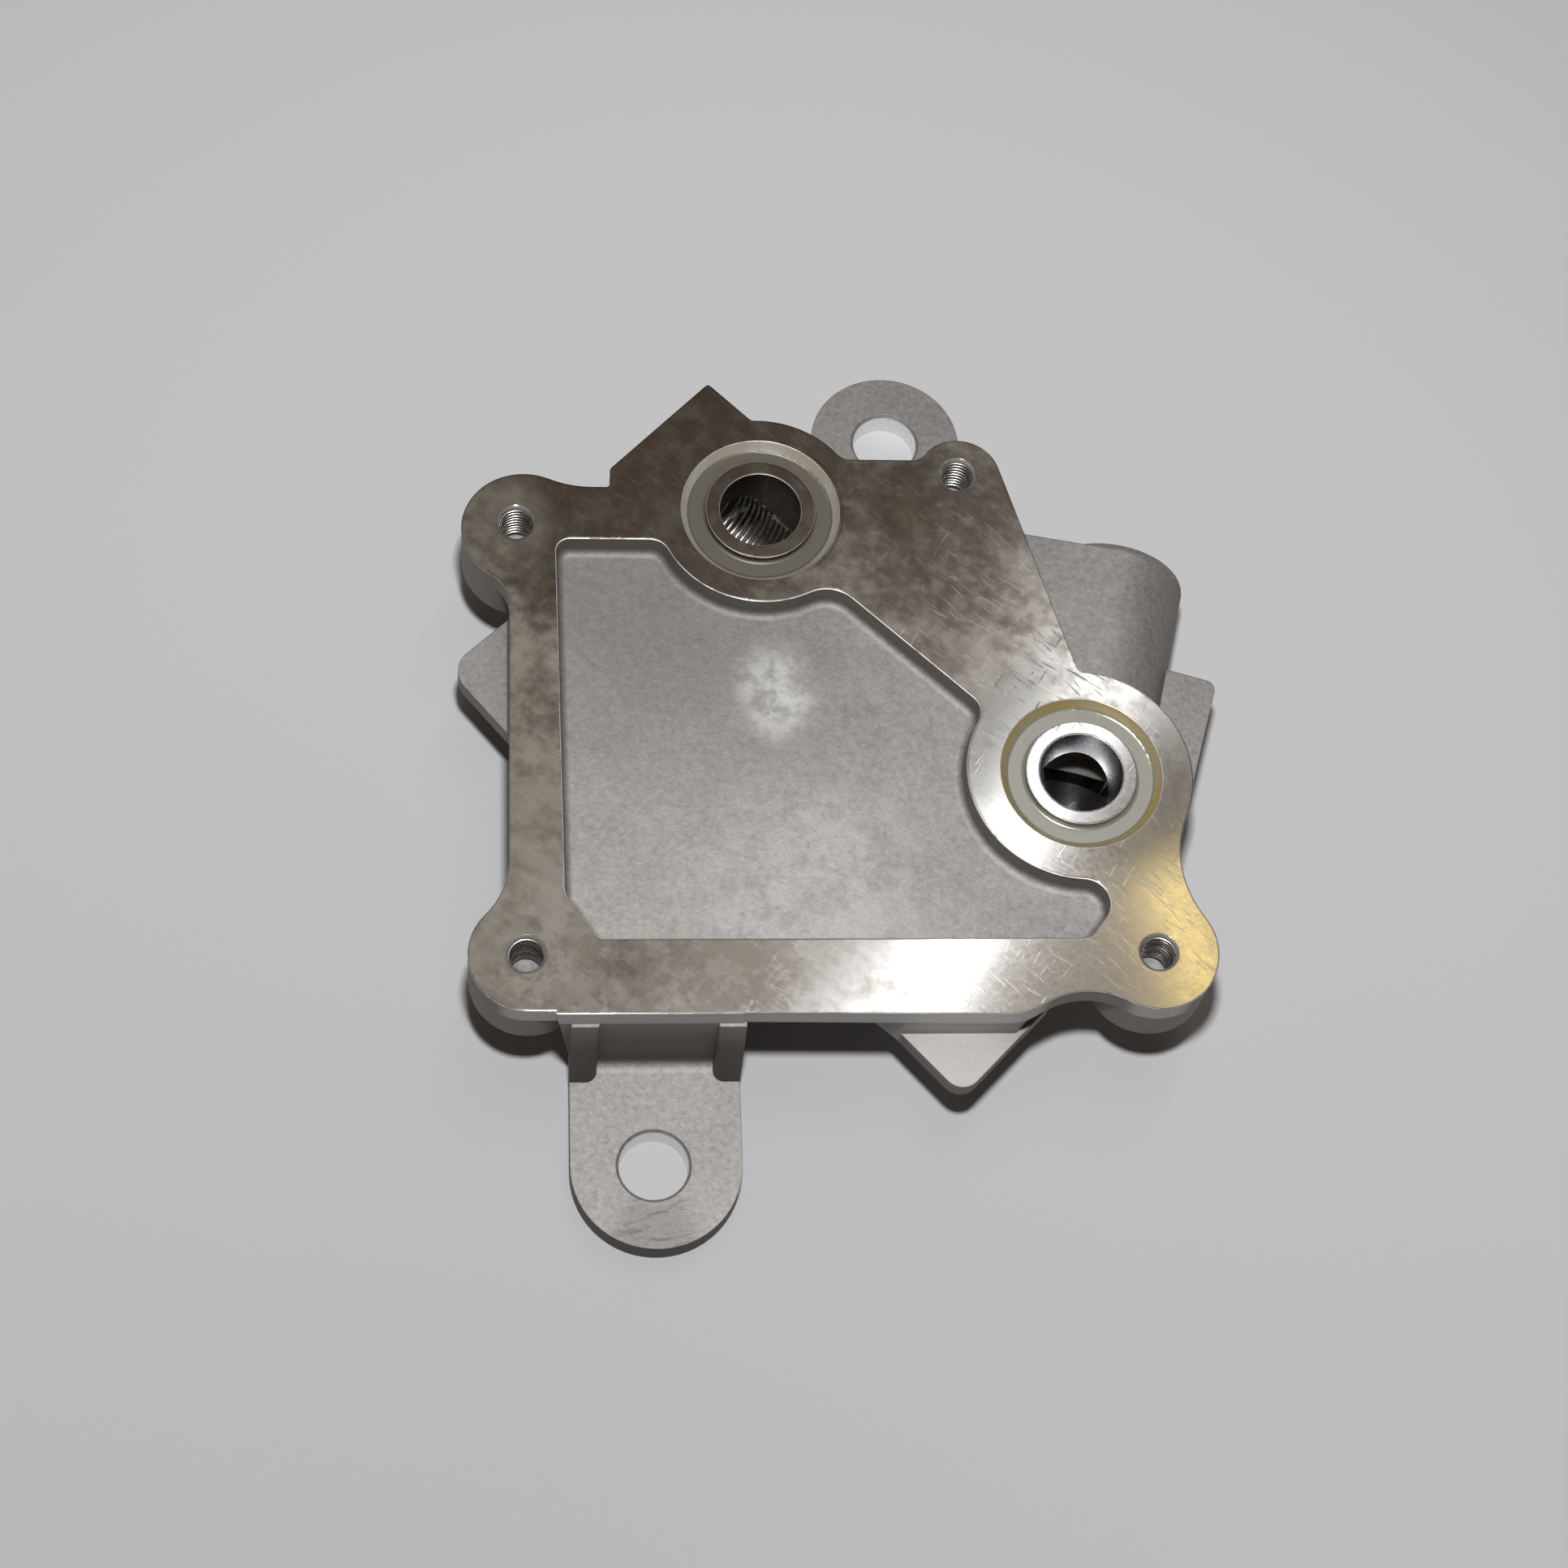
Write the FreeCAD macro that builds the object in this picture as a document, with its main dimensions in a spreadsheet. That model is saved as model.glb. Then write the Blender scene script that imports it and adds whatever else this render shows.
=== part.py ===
import FreeCAD, Part
import math
import os
import Sketcher
from FreeCAD import Placement, Rotation, Vector

# Oil cooler base: one aluminium casting with a machined top flange.
# The origin is the axis of the front ear's hole, on the plane that both ears stand on.
# X runs along the front edge, Y runs away to the rear ear and Z is up.

SIZES = {
    # Heights above the plane that the ears stand on, and thicknesses
    "overall_height": 38.0,
    "flange_thickness": 6.2,
    "ear_thickness": 7.0,
    "lug_top_height": 24.2,
    "lug_thickness": 5.2,
    "lobe_boss_depth": 16.0,
    "port_axis_height": 19.5,
    "floor_thickness": 5.4,
    "floor_plate_margin": 4.0,
    # Run-out of every cut past its face, and overlap of pieces that are joined
    "overrun": 1.0,
    # Four tapped holes for the cooler and the lobes that carry them
    "front_left_bolt_x": -28.9,
    "front_left_bolt_y": 39.0,
    "front_right_bolt_x": 113.1,
    "front_right_bolt_y": 39.0,
    "rear_left_bolt_x": -31.0,
    "rear_left_bolt_y": 148.0,
    "rear_right_bolt_x": 74.5,
    "rear_right_bolt_y": 162.3,
    "bolt_hole_radius": 4.0,
    "bolt_mouth_radius": 4.6,
    "bolt_hole_depth": 13.0,
    "front_left_lobe_radius": 13.4,
    "front_left_lobe_shift": 0.5,
    "front_right_lobe_radius": 14.2,
    "front_right_lobe_shift": -0.4,
    "front_right_lobe_rise": 0.6,
    "rear_left_lobe_radius": 14.7,
    "rear_left_lobe_shift": 1.8,
    "rear_left_lobe_rise": -1.5,
    "rear_right_lobe_radius": 10.0,
    "rear_right_lobe_shift": 0.5,
    "rear_right_lobe_rise": -0.5,
    # Two oil ports in the top face, each with a seal groove
    "rear_port_x": 26.8,
    "rear_port_y": 152.2,
    "front_port_x": 98.9,
    "front_port_y": 83.6,
    "port_bore_radius": 9.85,
    "port_land_radius": 12.9,
    "port_groove_radius": 18.9,
    "port_groove_depth": 2.2,
    "port_groove_slope": 1.6,
    "port_groove_round": 0.9,
    "port_mouth_chamfer": 1.0,
    "rear_port_boss_radius": 24.5,
    "front_port_boss_radius": 26.0,
    # Straight stretches of the flange's edge
    "left_edge_x": -32.6,
    "front_edge_x": 81.1,
    "front_edge_y": 24.4,
    "front_step_x": 84.6,
    "front_step_y": 25.9,
    "front_step_angle": 28.0,
    "side_edge_x": 100.2,
    "side_edge_y": 109.2,
    "notch_edge_y": 166.2,
    "rear_edge_y": 157.9,
    # Blends along the flange's edge
    "left_front_blend": 20.0,
    "front_step_round": 10.0,
    "front_step_blend": 18.0,
    "neck_blend": 26.0,
    "side_corner_blend": 1.5,
    "notch_blend": 4.0,
    "inlet_root_blend": 2.0,
    "inlet_corner_round": 0.8,
    "inlet_flank_round": 1.5,
    "rear_corner_blend": 1.0,
    "rear_left_blend": 25.0,
    "left_rear_blend": 8.0,
    # Inlet block: the threaded port that runs diagonally into the rear oil port
    "inlet_angle": 135.0,
    "inlet_half_width": 16.3,
    "inlet_reach": 32.7,
    "inlet_flank_x": -8.8,
    "inlet_bottom_height": 3.5,
    "inlet_bore_radius": 9.3,
    "inlet_thread_radius": 10.0,
    "inlet_thread_depth": 18.0,
    "inlet_bore_end": 8.0,
    # Outlet boss: the round port that runs rearwards from the front oil port
    "outlet_angle": 75.6,
    "outlet_radius": 17.0,
    "outlet_reach": 63.6,
    "outlet_end_round": 3.0,
    "outlet_bore_radius": 8.8,
    "outlet_thread_radius": 10.0,
    "outlet_thread_depth": 18.0,
    "outlet_bore_end": 8.0,
    "web_slope": 7.0,
    "web_width": 27.0,
    "web_thickness": 6.0,
    "web_end_setback": 2.6,
    # Cast pocket in the top face
    "pocket_depth": 5.8,
    "pocket_draft": 6.0,
    "pocket_front_y": 42.4,
    "pocket_rear_y": 144.1,
    "pocket_left_front_x": -20.3,
    "pocket_left_rear_x": -22.0,
    "pocket_cut_x": -19.7,
    "pocket_cut_y": 52.4,
    "pocket_cut_angle": -56.0,
    "pocket_tail_x": 98.0,
    "pocket_tail_y": 42.5,
    "pocket_tail_angle": 51.0,
    "pocket_diagonal_offset": 2.5,
    "pocket_front_port_radius": 26.5,
    "pocket_rear_port_radius": 24.5,
    "pocket_corner_round": 3.5,
    "pocket_cut_round": 3.0,
    "pocket_tip_round": 3.0,
    "pocket_tail_round": 6.0,
    "pocket_floor_fillet": 2.0,
    "pocket_elbow_round": 5.0,
    "pocket_hump_round": 9.0,
    "pocket_shoulder_round": 5.0,
    # Core block under the flange
    "core_setback": 0.25,
    "core_corner_tuck": 1.0,
    "core_left_front_y": 99.2,
    "core_left_rear_y": 129.9,
    "core_front_left_x": 55.7,
    "core_front_y": 24.9,
    "core_front_right_x": 81.6,
    "core_neck_x": 118.4,
    "core_neck_y": 60.5,
    "core_side_x": 122.9,
    "core_side_low_y": 77.0,
    "core_side_high_y": 89.0,
    "core_rear_right_x": 85.1,
    "core_rear_right_y": 159.0,
    "core_rear_x": 46.1,
    "core_rear_y": 163.0,
    "core_rear_left_x": -6.9,
    "core_rear_left_y": 153.5,
    # Three lugs that stand out from the core block
    "left_lug_x": -46.95,
    "left_lug_y": 116.5,
    "left_lug_round": 6.2,
    "left_lug_rear_angle": 42.6,
    "left_lug_front_angle": -50.5,
    "front_lug_x": 68.7,
    "front_lug_y": 10.07,
    "front_lug_round": 4.5,
    "front_lug_left_angle": 131.8,
    "front_lug_right_angle": 45.2,
    "right_lug_x": 136.3,
    "right_lug_y": 113.66,
    "right_lug_round": 2.5,
    "right_lug_front_angle": -107.1,
    "right_lug_rear_angle": 163.1,
    "lug_run": 30.0,
    "right_lug_front_run": 54.9,
    # Front ear and its bracket
    "front_ear_radius": 19.5,
    "front_ear_shift": 0.6,
    "ear_hole_radius": 7.9,
    "ear_mouth_radius": 8.6,
    "front_wall_y": 24.8,
    "bracket_wall_thickness": 7.0,
    "front_wall_left_flare": 3.5,
    "front_wall_right_flare": -0.8,
    "gusset_reach": 5.6,
    "gusset_width": 6.2,
    "gusset_round": 2.8,
    "gusset_top_reach": 0.8,
    "gusset_top_round": 0.5,
    "foot_fillet": 3.0,
    # Rear ear and its bracket
    "rear_ear_x": 61.9,
    "rear_ear_y": 189.4,
    "rear_ear_radius": 18.7,
    # Recesses cored into the underside
    "recess_top_height": 26.8,
    "recess_wall": 6.5,
    "recess_port_clearance": 3.0,
    "recess_rear_right_shift": 8.0,
    "recess_rear_left_shift": 12.0,
    "rib_thickness": 5.0,
    "rib_angle": 49.8,
    "first_rib_x": -5.0,
    "first_rib_y": 80.0,
    "first_rib_length": 66.0,
    "second_rib_x": 28.0,
    "second_rib_y": 52.0,
    "second_rib_length": 62.0,
}

doc = FreeCAD.newDocument("oil_cooler_base")
sheet = doc.addObject("Spreadsheet::Sheet", "Dimensions")
for row, (alias, value) in enumerate(SIZES.items(), start=1):
    sheet.set("A%d" % row, alias.replace("_", " "))
    sheet.set("B%d" % row, str(value))
    sheet.setAlias("B%d" % row, alias)
doc.recompute()


class Linked:
    """A number together with the sheet formula that gives it."""

    def __init__(self, number, formula):
        self.number = float(number)
        self.formula = formula

    def __add__(self, other):
        other = linked(other)
        return Linked(self.number + other.number, "(%s + %s)" % (self.formula, other.formula))

    def __sub__(self, other):
        other = linked(other)
        return Linked(self.number - other.number, "(%s - %s)" % (self.formula, other.formula))

    def __mul__(self, other):
        other = linked(other)
        return Linked(self.number * other.number, "(%s * %s)" % (self.formula, other.formula))

    def __truediv__(self, other):
        other = linked(other)
        return Linked(self.number / other.number, "(%s / %s)" % (self.formula, other.formula))

    def __neg__(self):
        return Linked(-self.number, "(0 - %s)" % self.formula)


def linked(value):
    """Turn a plain number into a linked one."""
    if isinstance(value, Linked):
        return value
    return Linked(value, "(%s)" % value)


def size(alias):
    """Read one driving dimension."""
    return Linked(SIZES[alias], "Dimensions.%s" % alias)


def cosine(angle):
    return Linked(math.cos(math.radians(angle.number)), "cos(%s)" % angle.formula)


def sine(angle):
    return Linked(math.sin(math.radians(angle.number)), "sin(%s)" % angle.formula)


def tangent(angle):
    return Linked(math.tan(math.radians(angle.number)), "tan(%s)" % angle.formula)


def arctangent(rise, run):
    """Angle of a direction in degrees."""
    number = math.degrees(math.atan2(rise.number, run.number))
    return Linked(number, "(atan2(%s; %s) / 1 deg)" % (rise.formula, run.formula))


def step_from(point, angle, length):
    """Go a length from a point at an angle in the sketch plane."""
    return point[0] + cosine(angle) * length, point[1] + sine(angle) * length


def bind(thing, name, value):
    """Tie a property of an object to the sheet."""
    value = linked(value)
    thing.setExpression(name, value.formula)


class Straight:
    """A straight edge through two points, run from the first to the second."""

    def __init__(self, first, second):
        self.points = [first, second]

    def settle(self, before, after):
        (x0, y0), (x1, y1) = [(p[0].number, p[1].number) for p in self.points]
        self.base = (x0, y0)
        self.angle = math.atan2(y1 - y0, x1 - x0)


class Touching:
    """A straight edge through one point that touches the round before or after it."""

    def __init__(self, point, touches):
        self.points = [point]
        self.touches = touches

    def settle(self, before, after):
        round_ = before if self.touches == "before" else after
        px, py = self.points[0][0].number, self.points[0][1].number
        cx, cy = round_.centre[0].number, round_.centre[1].number
        away = math.atan2(cy - py, cx - px)
        lean = math.asin(round_.turn * round_.radius.number / math.hypot(cx - px, cy - py))
        self.base = (px, py)
        self.angle = away - lean if self.touches == "after" else away + math.pi + lean


class Round:
    """A round stretch about a centre: turn is 1 anticlockwise and -1 clockwise."""

    def __init__(self, centre, radius, turn=1):
        self.centre = centre
        self.radius = radius
        self.turn = turn

    def settle(self, before, after):
        pass


class Blend:
    """A tangent arc between two neighbours: turn is 1 at a corner and -1 in a hollow."""

    def __init__(self, radius, turn):
        self.radius = radius
        self.turn = turn


def corner(alias):
    return Blend(size(alias), 1)


def hollow(alias):
    return Blend(size(alias), -1)


SHARP = Blend(linked(0), 1)
TOUCH = None
SAME_PLACE = 0.001
FULL_TURN = 360
# Length of the short run that gives a slanted edge its direction
EDGE_RUN = linked(5)
# Height of a drilled hole's point for each unit of its radius
DRILL_POINT = 0.6
# Shares of the recess wall that keep it square to the block's slanted faces
RECESS_SLANT = 0.55
RECESS_FRONT = 0.45
RECESS_NECK = 1.5
RECESS_REAR = 0.4


def unit(angle):
    return math.cos(angle), math.sin(angle)


def blend_centre(first, second, radius, turn):
    """Centre of the arc of the given radius that touches both neighbours in running order."""
    lines, circles = [], []
    for item in (first, second):
        if isinstance(item, Round):
            reach = abs(item.turn * item.radius.number - turn * radius)
            circles.append((item.centre[0].number, item.centre[1].number, reach))
        else:
            dx, dy = unit(item.angle)
            x, y = item.base
            lines.append((x - dy * turn * radius, y + dx * turn * radius, dx, dy))
    if len(lines) == 2:
        (x0, y0, dx0, dy0), (x1, y1, dx1, dy1) = lines
        cross = dx0 * dy1 - dy0 * dx1
        along = ((x1 - x0) * dy1 - (y1 - y0) * dx1) / cross
        return x0 + dx0 * along, y0 + dy0 * along
    if len(lines) == 1:
        x, y, dx, dy = lines[0]
        cx, cy, reach = circles[0]
        middle = (cx - x) * dx + (cy - y) * dy
        off = (cx - x) * dy - (cy - y) * dx
        half = math.sqrt(reach * reach - off * off)
        round_ = first if isinstance(first, Round) else second
        past_middle = isinstance(first, Round) != (turn == round_.turn)
        along = middle + half if past_middle else middle - half
        return x + dx * along, y + dy * along
    (x0, y0, r0), (x1, y1, r1) = circles
    span = math.hypot(x1 - x0, y1 - y0)
    ux, uy = (x1 - x0) / span, (y1 - y0) / span
    along = (r0 * r0 - r1 * r1 + span * span) / (2 * span)
    aside = math.sqrt(r0 * r0 - along * along) * first.turn
    return x0 + ux * along + uy * aside, y0 + uy * along - ux * aside


def foot_on(item, point):
    """Point of a neighbour that is nearest to a blend's centre."""
    if isinstance(item, Round):
        cx, cy = item.centre[0].number, item.centre[1].number
        angle = math.atan2(point[1] - cy, point[0] - cx)
        return cx + item.radius.number * math.cos(angle), cy + item.radius.number * math.sin(angle)
    dx, dy = unit(item.angle)
    along = (point[0] - item.base[0]) * dx + (point[1] - item.base[1]) * dy
    return item.base[0] + dx * along, item.base[1] + dy * along


def touch_point(first, second):
    """Point where a touching edge and its round meet."""
    line, round_ = (second, first) if isinstance(first, Round) else (first, second)
    return foot_on(line, (round_.centre[0].number, round_.centre[1].number))


def fix_point(sketch, geometry, position, point):
    """Hold a point of the sketch at two linked coordinates."""
    for kind, value in zip(("DistanceX", "DistanceY"), point):
        index = sketch.addConstraint(
            Sketcher.Constraint(kind, -1, 1, geometry, position, value.number)
        )
        sketch.setExpression("Constraints[%d]" % index, value.formula)


def fix_radius(sketch, geometry, radius):
    index = sketch.addConstraint(Sketcher.Constraint("Radius", geometry, radius.number))
    sketch.setExpression("Constraints[%d]" % index, radius.formula)


def add_arc(sketch, centre, radius, start, end, turn):
    """Draw an arc and give its index with the positions of its start and end."""
    angles = [math.atan2(p[1] - centre[1], p[0] - centre[0]) for p in (start, end)]
    if turn < 0:
        angles.reverse()
    if angles[1] <= angles[0]:
        angles[1] += 2 * math.pi
    circle = Part.Circle(Vector(centre[0], centre[1], 0), Vector(0, 0, 1), radius)
    index = sketch.addGeometry(Part.ArcOfCircle(circle, angles[0], angles[1]), False)
    return (index, 1, 2) if turn > 0 else (index, 2, 1)


def draw_outline(sketch, items, joints):
    """Draw a closed run of edges and rounds, joined in order by blends, and hold it."""
    count = len(items)
    for place, item in enumerate(items):
        item.settle(items[place - 1], items[(place + 1) % count])
    starts, ends, arcs = [None] * count, [None] * count, [None] * count
    for place, joint in enumerate(joints):
        first, second = items[place], items[(place + 1) % count]
        following = (place + 1) % count
        if joint is TOUCH:
            ends[place] = starts[following] = touch_point(first, second)
            continue
        centre = blend_centre(first, second, joint.radius.number, joint.turn)
        ends[place] = foot_on(first, centre)
        starts[following] = foot_on(second, centre)
        if joint is not SHARP:
            arcs[place] = centre
    drawn = []
    for item, start, end in zip(items, starts, ends):
        if isinstance(item, Round):
            centre = (item.centre[0].number, item.centre[1].number)
            drawn.append(add_arc(sketch, centre, item.radius.number, start, end, item.turn))
        else:
            segment = Part.LineSegment(Vector(start[0], start[1], 0), Vector(end[0], end[1], 0))
            drawn.append((sketch.addGeometry(segment, False), 1, 2))
    for place, joint in enumerate(joints):
        first, second = drawn[place], drawn[(place + 1) % count]
        if joint is TOUCH:
            join(sketch, "Tangent", first, second)
        elif joint is SHARP:
            join(sketch, "Coincident", first, second)
        else:
            following = (place + 1) % count
            arc = add_arc(
                sketch, arcs[place], joint.radius.number, ends[place], starts[following], joint.turn
            )
            join(sketch, "Tangent", first, arc)
            join(sketch, "Tangent", arc, second)
            fix_radius(sketch, arc[0], joint.radius)
    for item, (index, _, _) in zip(items, drawn):
        if isinstance(item, Round):
            fix_radius(sketch, index, item.radius)
            fix_point(sketch, index, 3, item.centre)
        else:
            for point in item.points:
                hold_on_line(sketch, index, point)


def join(sketch, kind, first, second):
    sketch.addConstraint(Sketcher.Constraint(kind, first[0], first[2], second[0], second[1]))


def hold_on_line(sketch, index, point):
    """Make a straight edge run through a linked point."""
    mark = sketch.addGeometry(Part.Point(Vector(point[0].number, point[1].number, 0)), True)
    fix_point(sketch, mark, 1, point)
    sketch.addConstraint(Sketcher.Constraint("PointOnObject", mark, 1, index))


def draw_circle(sketch, centre, radius):
    middle = Vector(centre[0].number, centre[1].number, 0)
    index = sketch.addGeometry(Part.Circle(middle, Vector(0, 0, 1), radius.number), False)
    fix_point(sketch, index, 3, centre)
    fix_radius(sketch, index, radius)


def draw_polygon(sketch, corners):
    """Draw a closed polygon with linked corners."""
    points = [Vector(x.number, y.number, 0) for x, y in corners]
    edges = []
    for start, end in zip(points, points[1:] + points[:1]):
        edges.append((sketch.addGeometry(Part.LineSegment(start, end), False), 1, 2))
    for first, second in zip(edges, edges[1:] + edges[:1]):
        join(sketch, "Coincident", first, second)
    for (index, start, _), point in zip(edges, corners):
        fix_point(sketch, index, start, point)


casting = doc.addObject("PartDesign::Body", "oil_cooler_base")
casting.Label = "oil_cooler_base"
casting.Placement = Placement(Vector(0, 0, 0), Rotation())


def new_sketch(name, role="XY_Plane", height=None, base=None, angle=None):
    """Make a sketch on an origin plane, raised, moved in the plane and turned as asked."""
    sketch = casting.newObject("Sketcher::SketchObject", name)
    plane = [item for item in casting.Origin.OriginFeatures if item.Role == role][0]
    sketch.AttachmentSupport = [(plane, "")]
    sketch.MapMode = "FlatFace"
    offsets = {"z": height}
    if base is not None:
        offsets.update({"x": base[0], "y": base[1]})
    numbers = {axis: linked(value).number for axis, value in offsets.items() if value is not None}
    turned = linked(0 if angle is None else angle)
    sketch.AttachmentOffset = Placement(
        Vector(numbers.get("x", 0), numbers.get("y", 0), numbers.get("z", 0)),
        Rotation(Vector(0, 0, 1), turned.number),
    )
    for axis in numbers:
        bind(sketch, "AttachmentOffset.Base.%s" % axis, offsets[axis])
    if angle is not None:
        bind(sketch, "AttachmentOffset.Rotation.Angle", turned)
    return sketch


def feature(kind, name, sketch, **links):
    """Add a sketch-based feature with its sizes bound to the sheet."""
    item = casting.newObject("PartDesign::%s" % kind, name)
    item.Profile = sketch
    for key in [key for key in links if isinstance(links[key], (bool, str))]:
        setattr(item, key, links.pop(key))
    for key, value in links.items():
        bind(item, key, value)
    sketch.Visibility = False
    return item


def pad(name, sketch, length, down=False, taper=None):
    links = {"Length": length, "Reversed": down}
    if taper is not None:
        links["TaperAngle"] = taper
    return feature("Pad", name, sketch, **links)


def pocket(name, sketch, length, up=False, taper=None):
    links = {"Length": length, "Reversed": up}
    if taper is not None:
        links["TaperAngle"] = taper
    return feature("Pocket", name, sketch, **links)


def turn_about(kind, name, sketch, axis):
    """Turn a profile about one of its sketch's own axes."""
    item = casting.newObject("PartDesign::%s" % kind, name)
    item.Profile = sketch
    item.ReferenceAxis = (sketch, [axis])
    item.Angle = FULL_TURN
    sketch.Visibility = False
    return item


def loft(name, low_sketch, high_sketch):
    """Join a lower and a higher outline with straight sides."""
    item = casting.newObject("PartDesign::AdditiveLoft", name)
    item.Profile = low_sketch
    item.Sections = [high_sketch]
    item.Ruled = True
    low_sketch.Visibility = False
    high_sketch.Visibility = False
    return item


def round_edges(name, base, radius, wanted):
    """Round those edges of a feature that pass a test."""
    doc.recompute()
    names = []
    for number, edge in enumerate(base.Shape.Edges, start=1):
        if wanted(edge):
            names.append("Edge%d" % number)
    item = casting.newObject("PartDesign::Fillet", name)
    item.Base = (base, names)
    bind(item, "Radius", radius)
    return item


def is_level(edge, height):
    """Tell whether both ends of an edge lie at a height."""
    return all(abs(end.Z - height.number) < SAME_PLACE for end in edge.Vertexes)


def upright_sketch(name, centre, height, angle=None):
    """Make a sketch on an upright plane through a point, its X turned to an angle."""
    sketch = new_sketch(name, "XZ_Plane", height=-centre[1], base=(centre[0], height))
    if angle is not None:
        base = sketch.AttachmentOffset.Base
        sketch.AttachmentOffset = Placement(base, Rotation(Vector(0, 1, 0), angle.number))
        bind(sketch, "AttachmentOffset.Rotation.Angle", angle)
    return sketch


def side_sketch(name, distance):
    """Make a sketch on a plane across X, with Y to its right and Z up."""
    return new_sketch(name, "YZ_Plane", height=distance)


def draw_foot(sketch, centre, radius, low, high, inner):
    """Draw the hollow wedge between an ear's top and its wall."""
    points = [(item[0].number, item[1].number) for item in (low, high)]
    middle = (centre[0].number, centre[1].number)
    low_line = (low[0], inner[1])
    high_line = (inner[0], high[1])
    corners = [low, low_line, inner, high_line, high]
    edges = []
    for start, end in zip(corners, corners[1:]):
        segment = Part.LineSegment(
            Vector(start[0].number, start[1].number, 0), Vector(end[0].number, end[1].number, 0)
        )
        index = sketch.addGeometry(segment, False)
        fix_point(sketch, index, 1, start)
        edges.append((index, 1, 2))
    fix_point(sketch, edges[-1][0], 2, high)
    for first, second in zip(edges, edges[1:]):
        join(sketch, "Coincident", first, second)
    leftwards = high[0].number < low[0].number
    arc = add_arc(sketch, middle, radius.number, points[1], points[0], 1 if leftwards else -1)
    join(sketch, "Coincident", edges[-1], arc)
    join(sketch, "Coincident", arc, edges[0])
    fix_radius(sketch, arc[0], radius)


def bore_cut(name, centre, angle, reach):
    """Cut a level bore with a drilled end and a wider threaded stretch at its mouth."""
    sketch = new_sketch(
        name + "_bore_profile", height=size("port_axis_height"), base=centre, angle=angle
    )
    drill = size(name + "_bore_radius")
    thread = size(name + "_thread_radius")
    drill_end = -size(name + "_bore_end")
    thread_end = reach - size(name + "_thread_depth")
    mouth = size("port_mouth_chamfer")
    draw_polygon(
        sketch,
        [
            (drill_end - drill * DRILL_POINT, linked(0)),
            (reach + overrun, linked(0)),
            (reach + overrun, thread + mouth),
            (reach, thread + mouth),
            (reach - mouth, thread),
            (thread_end, thread),
            (thread_end, drill),
            (drill_end, drill),
        ],
    )
    turn_about("Groove", name + "_bore", sketch, "H_Axis")


# Positions shared by several features
top = size("overall_height")
flange_bottom = top - size("flange_thickness")
flange_middle = top - size("flange_thickness") / 2
overrun = size("overrun")
front_left_bolt = (size("front_left_bolt_x"), size("front_left_bolt_y"))
front_right_bolt = (size("front_right_bolt_x"), size("front_right_bolt_y"))
rear_left_bolt = (size("rear_left_bolt_x"), size("rear_left_bolt_y"))
rear_right_bolt = (size("rear_right_bolt_x"), size("rear_right_bolt_y"))
front_left_lobe = (front_left_bolt[0] + size("front_left_lobe_shift"), front_left_bolt[1])
front_right_lobe = (
    front_right_bolt[0] + size("front_right_lobe_shift"),
    front_right_bolt[1] + size("front_right_lobe_rise"),
)
rear_left_lobe = (
    rear_left_bolt[0] + size("rear_left_lobe_shift"),
    rear_left_bolt[1] + size("rear_left_lobe_rise"),
)
rear_right_lobe = (
    rear_right_bolt[0] + size("rear_right_lobe_shift"),
    rear_right_bolt[1] + size("rear_right_lobe_rise"),
)
front_port = (size("front_port_x"), size("front_port_y"))
rear_port = (size("rear_port_x"), size("rear_port_y"))
front_ear = (linked(0), linked(0))
rear_ear = (size("rear_ear_x"), size("rear_ear_y"))
square_turn = linked(90)
inlet_angle = size("inlet_angle")
inlet_side = inlet_angle - square_turn
inlet_face = step_from(rear_port, inlet_angle, size("inlet_reach"))
inlet_apex = step_from(inlet_face, inlet_side, size("inlet_half_width"))
inlet_root = step_from(rear_port, inlet_side, size("inlet_half_width"))

# Top flange
flange_sketch = new_sketch("flange_outline", height=top)
front_step = (size("front_step_x"), size("front_step_y"))
draw_outline(
    flange_sketch,
    [
        Straight(
            (size("left_edge_x"), rear_left_lobe[1]),
            (size("left_edge_x"), front_left_lobe[1]),
        ),
        Round(front_left_lobe, size("front_left_lobe_radius")),
        Touching((size("front_edge_x"), size("front_edge_y")), "before"),
        Straight(front_step, step_from(front_step, size("front_step_angle"), EDGE_RUN)),
        Round(front_right_lobe, size("front_right_lobe_radius")),
        Round(front_port, size("front_port_boss_radius")),
        Touching((size("side_edge_x"), size("side_edge_y")), "after"),
        Round(rear_right_lobe, size("rear_right_lobe_radius")),
        Straight(
            (rear_right_lobe[0], size("notch_edge_y")),
            (rear_port[0], size("notch_edge_y")),
        ),
        Round(rear_port, size("rear_port_boss_radius")),
        Straight(inlet_root, inlet_apex),
        Straight(inlet_apex, inlet_face),
        Straight(
            (size("inlet_flank_x"), rear_port[1] + EDGE_RUN),
            (size("inlet_flank_x"), rear_port[1]),
        ),
        Straight((rear_port[0], size("rear_edge_y")), (rear_left_lobe[0], size("rear_edge_y"))),
        Round(rear_left_lobe, size("rear_left_lobe_radius")),
    ],
    [
        hollow("left_front_blend"),
        TOUCH,
        corner("front_step_round"),
        hollow("front_step_blend"),
        hollow("neck_blend"),
        hollow("side_corner_blend"),
        TOUCH,
        hollow("notch_blend"),
        hollow("notch_blend"),
        hollow("inlet_root_blend"),
        corner("inlet_corner_round"),
        corner("inlet_flank_round"),
        hollow("rear_corner_blend"),
        hollow("rear_left_blend"),
        hollow("left_rear_blend"),
    ],
)
pad("flange", flange_sketch, size("flange_thickness"), down=True)

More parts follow.
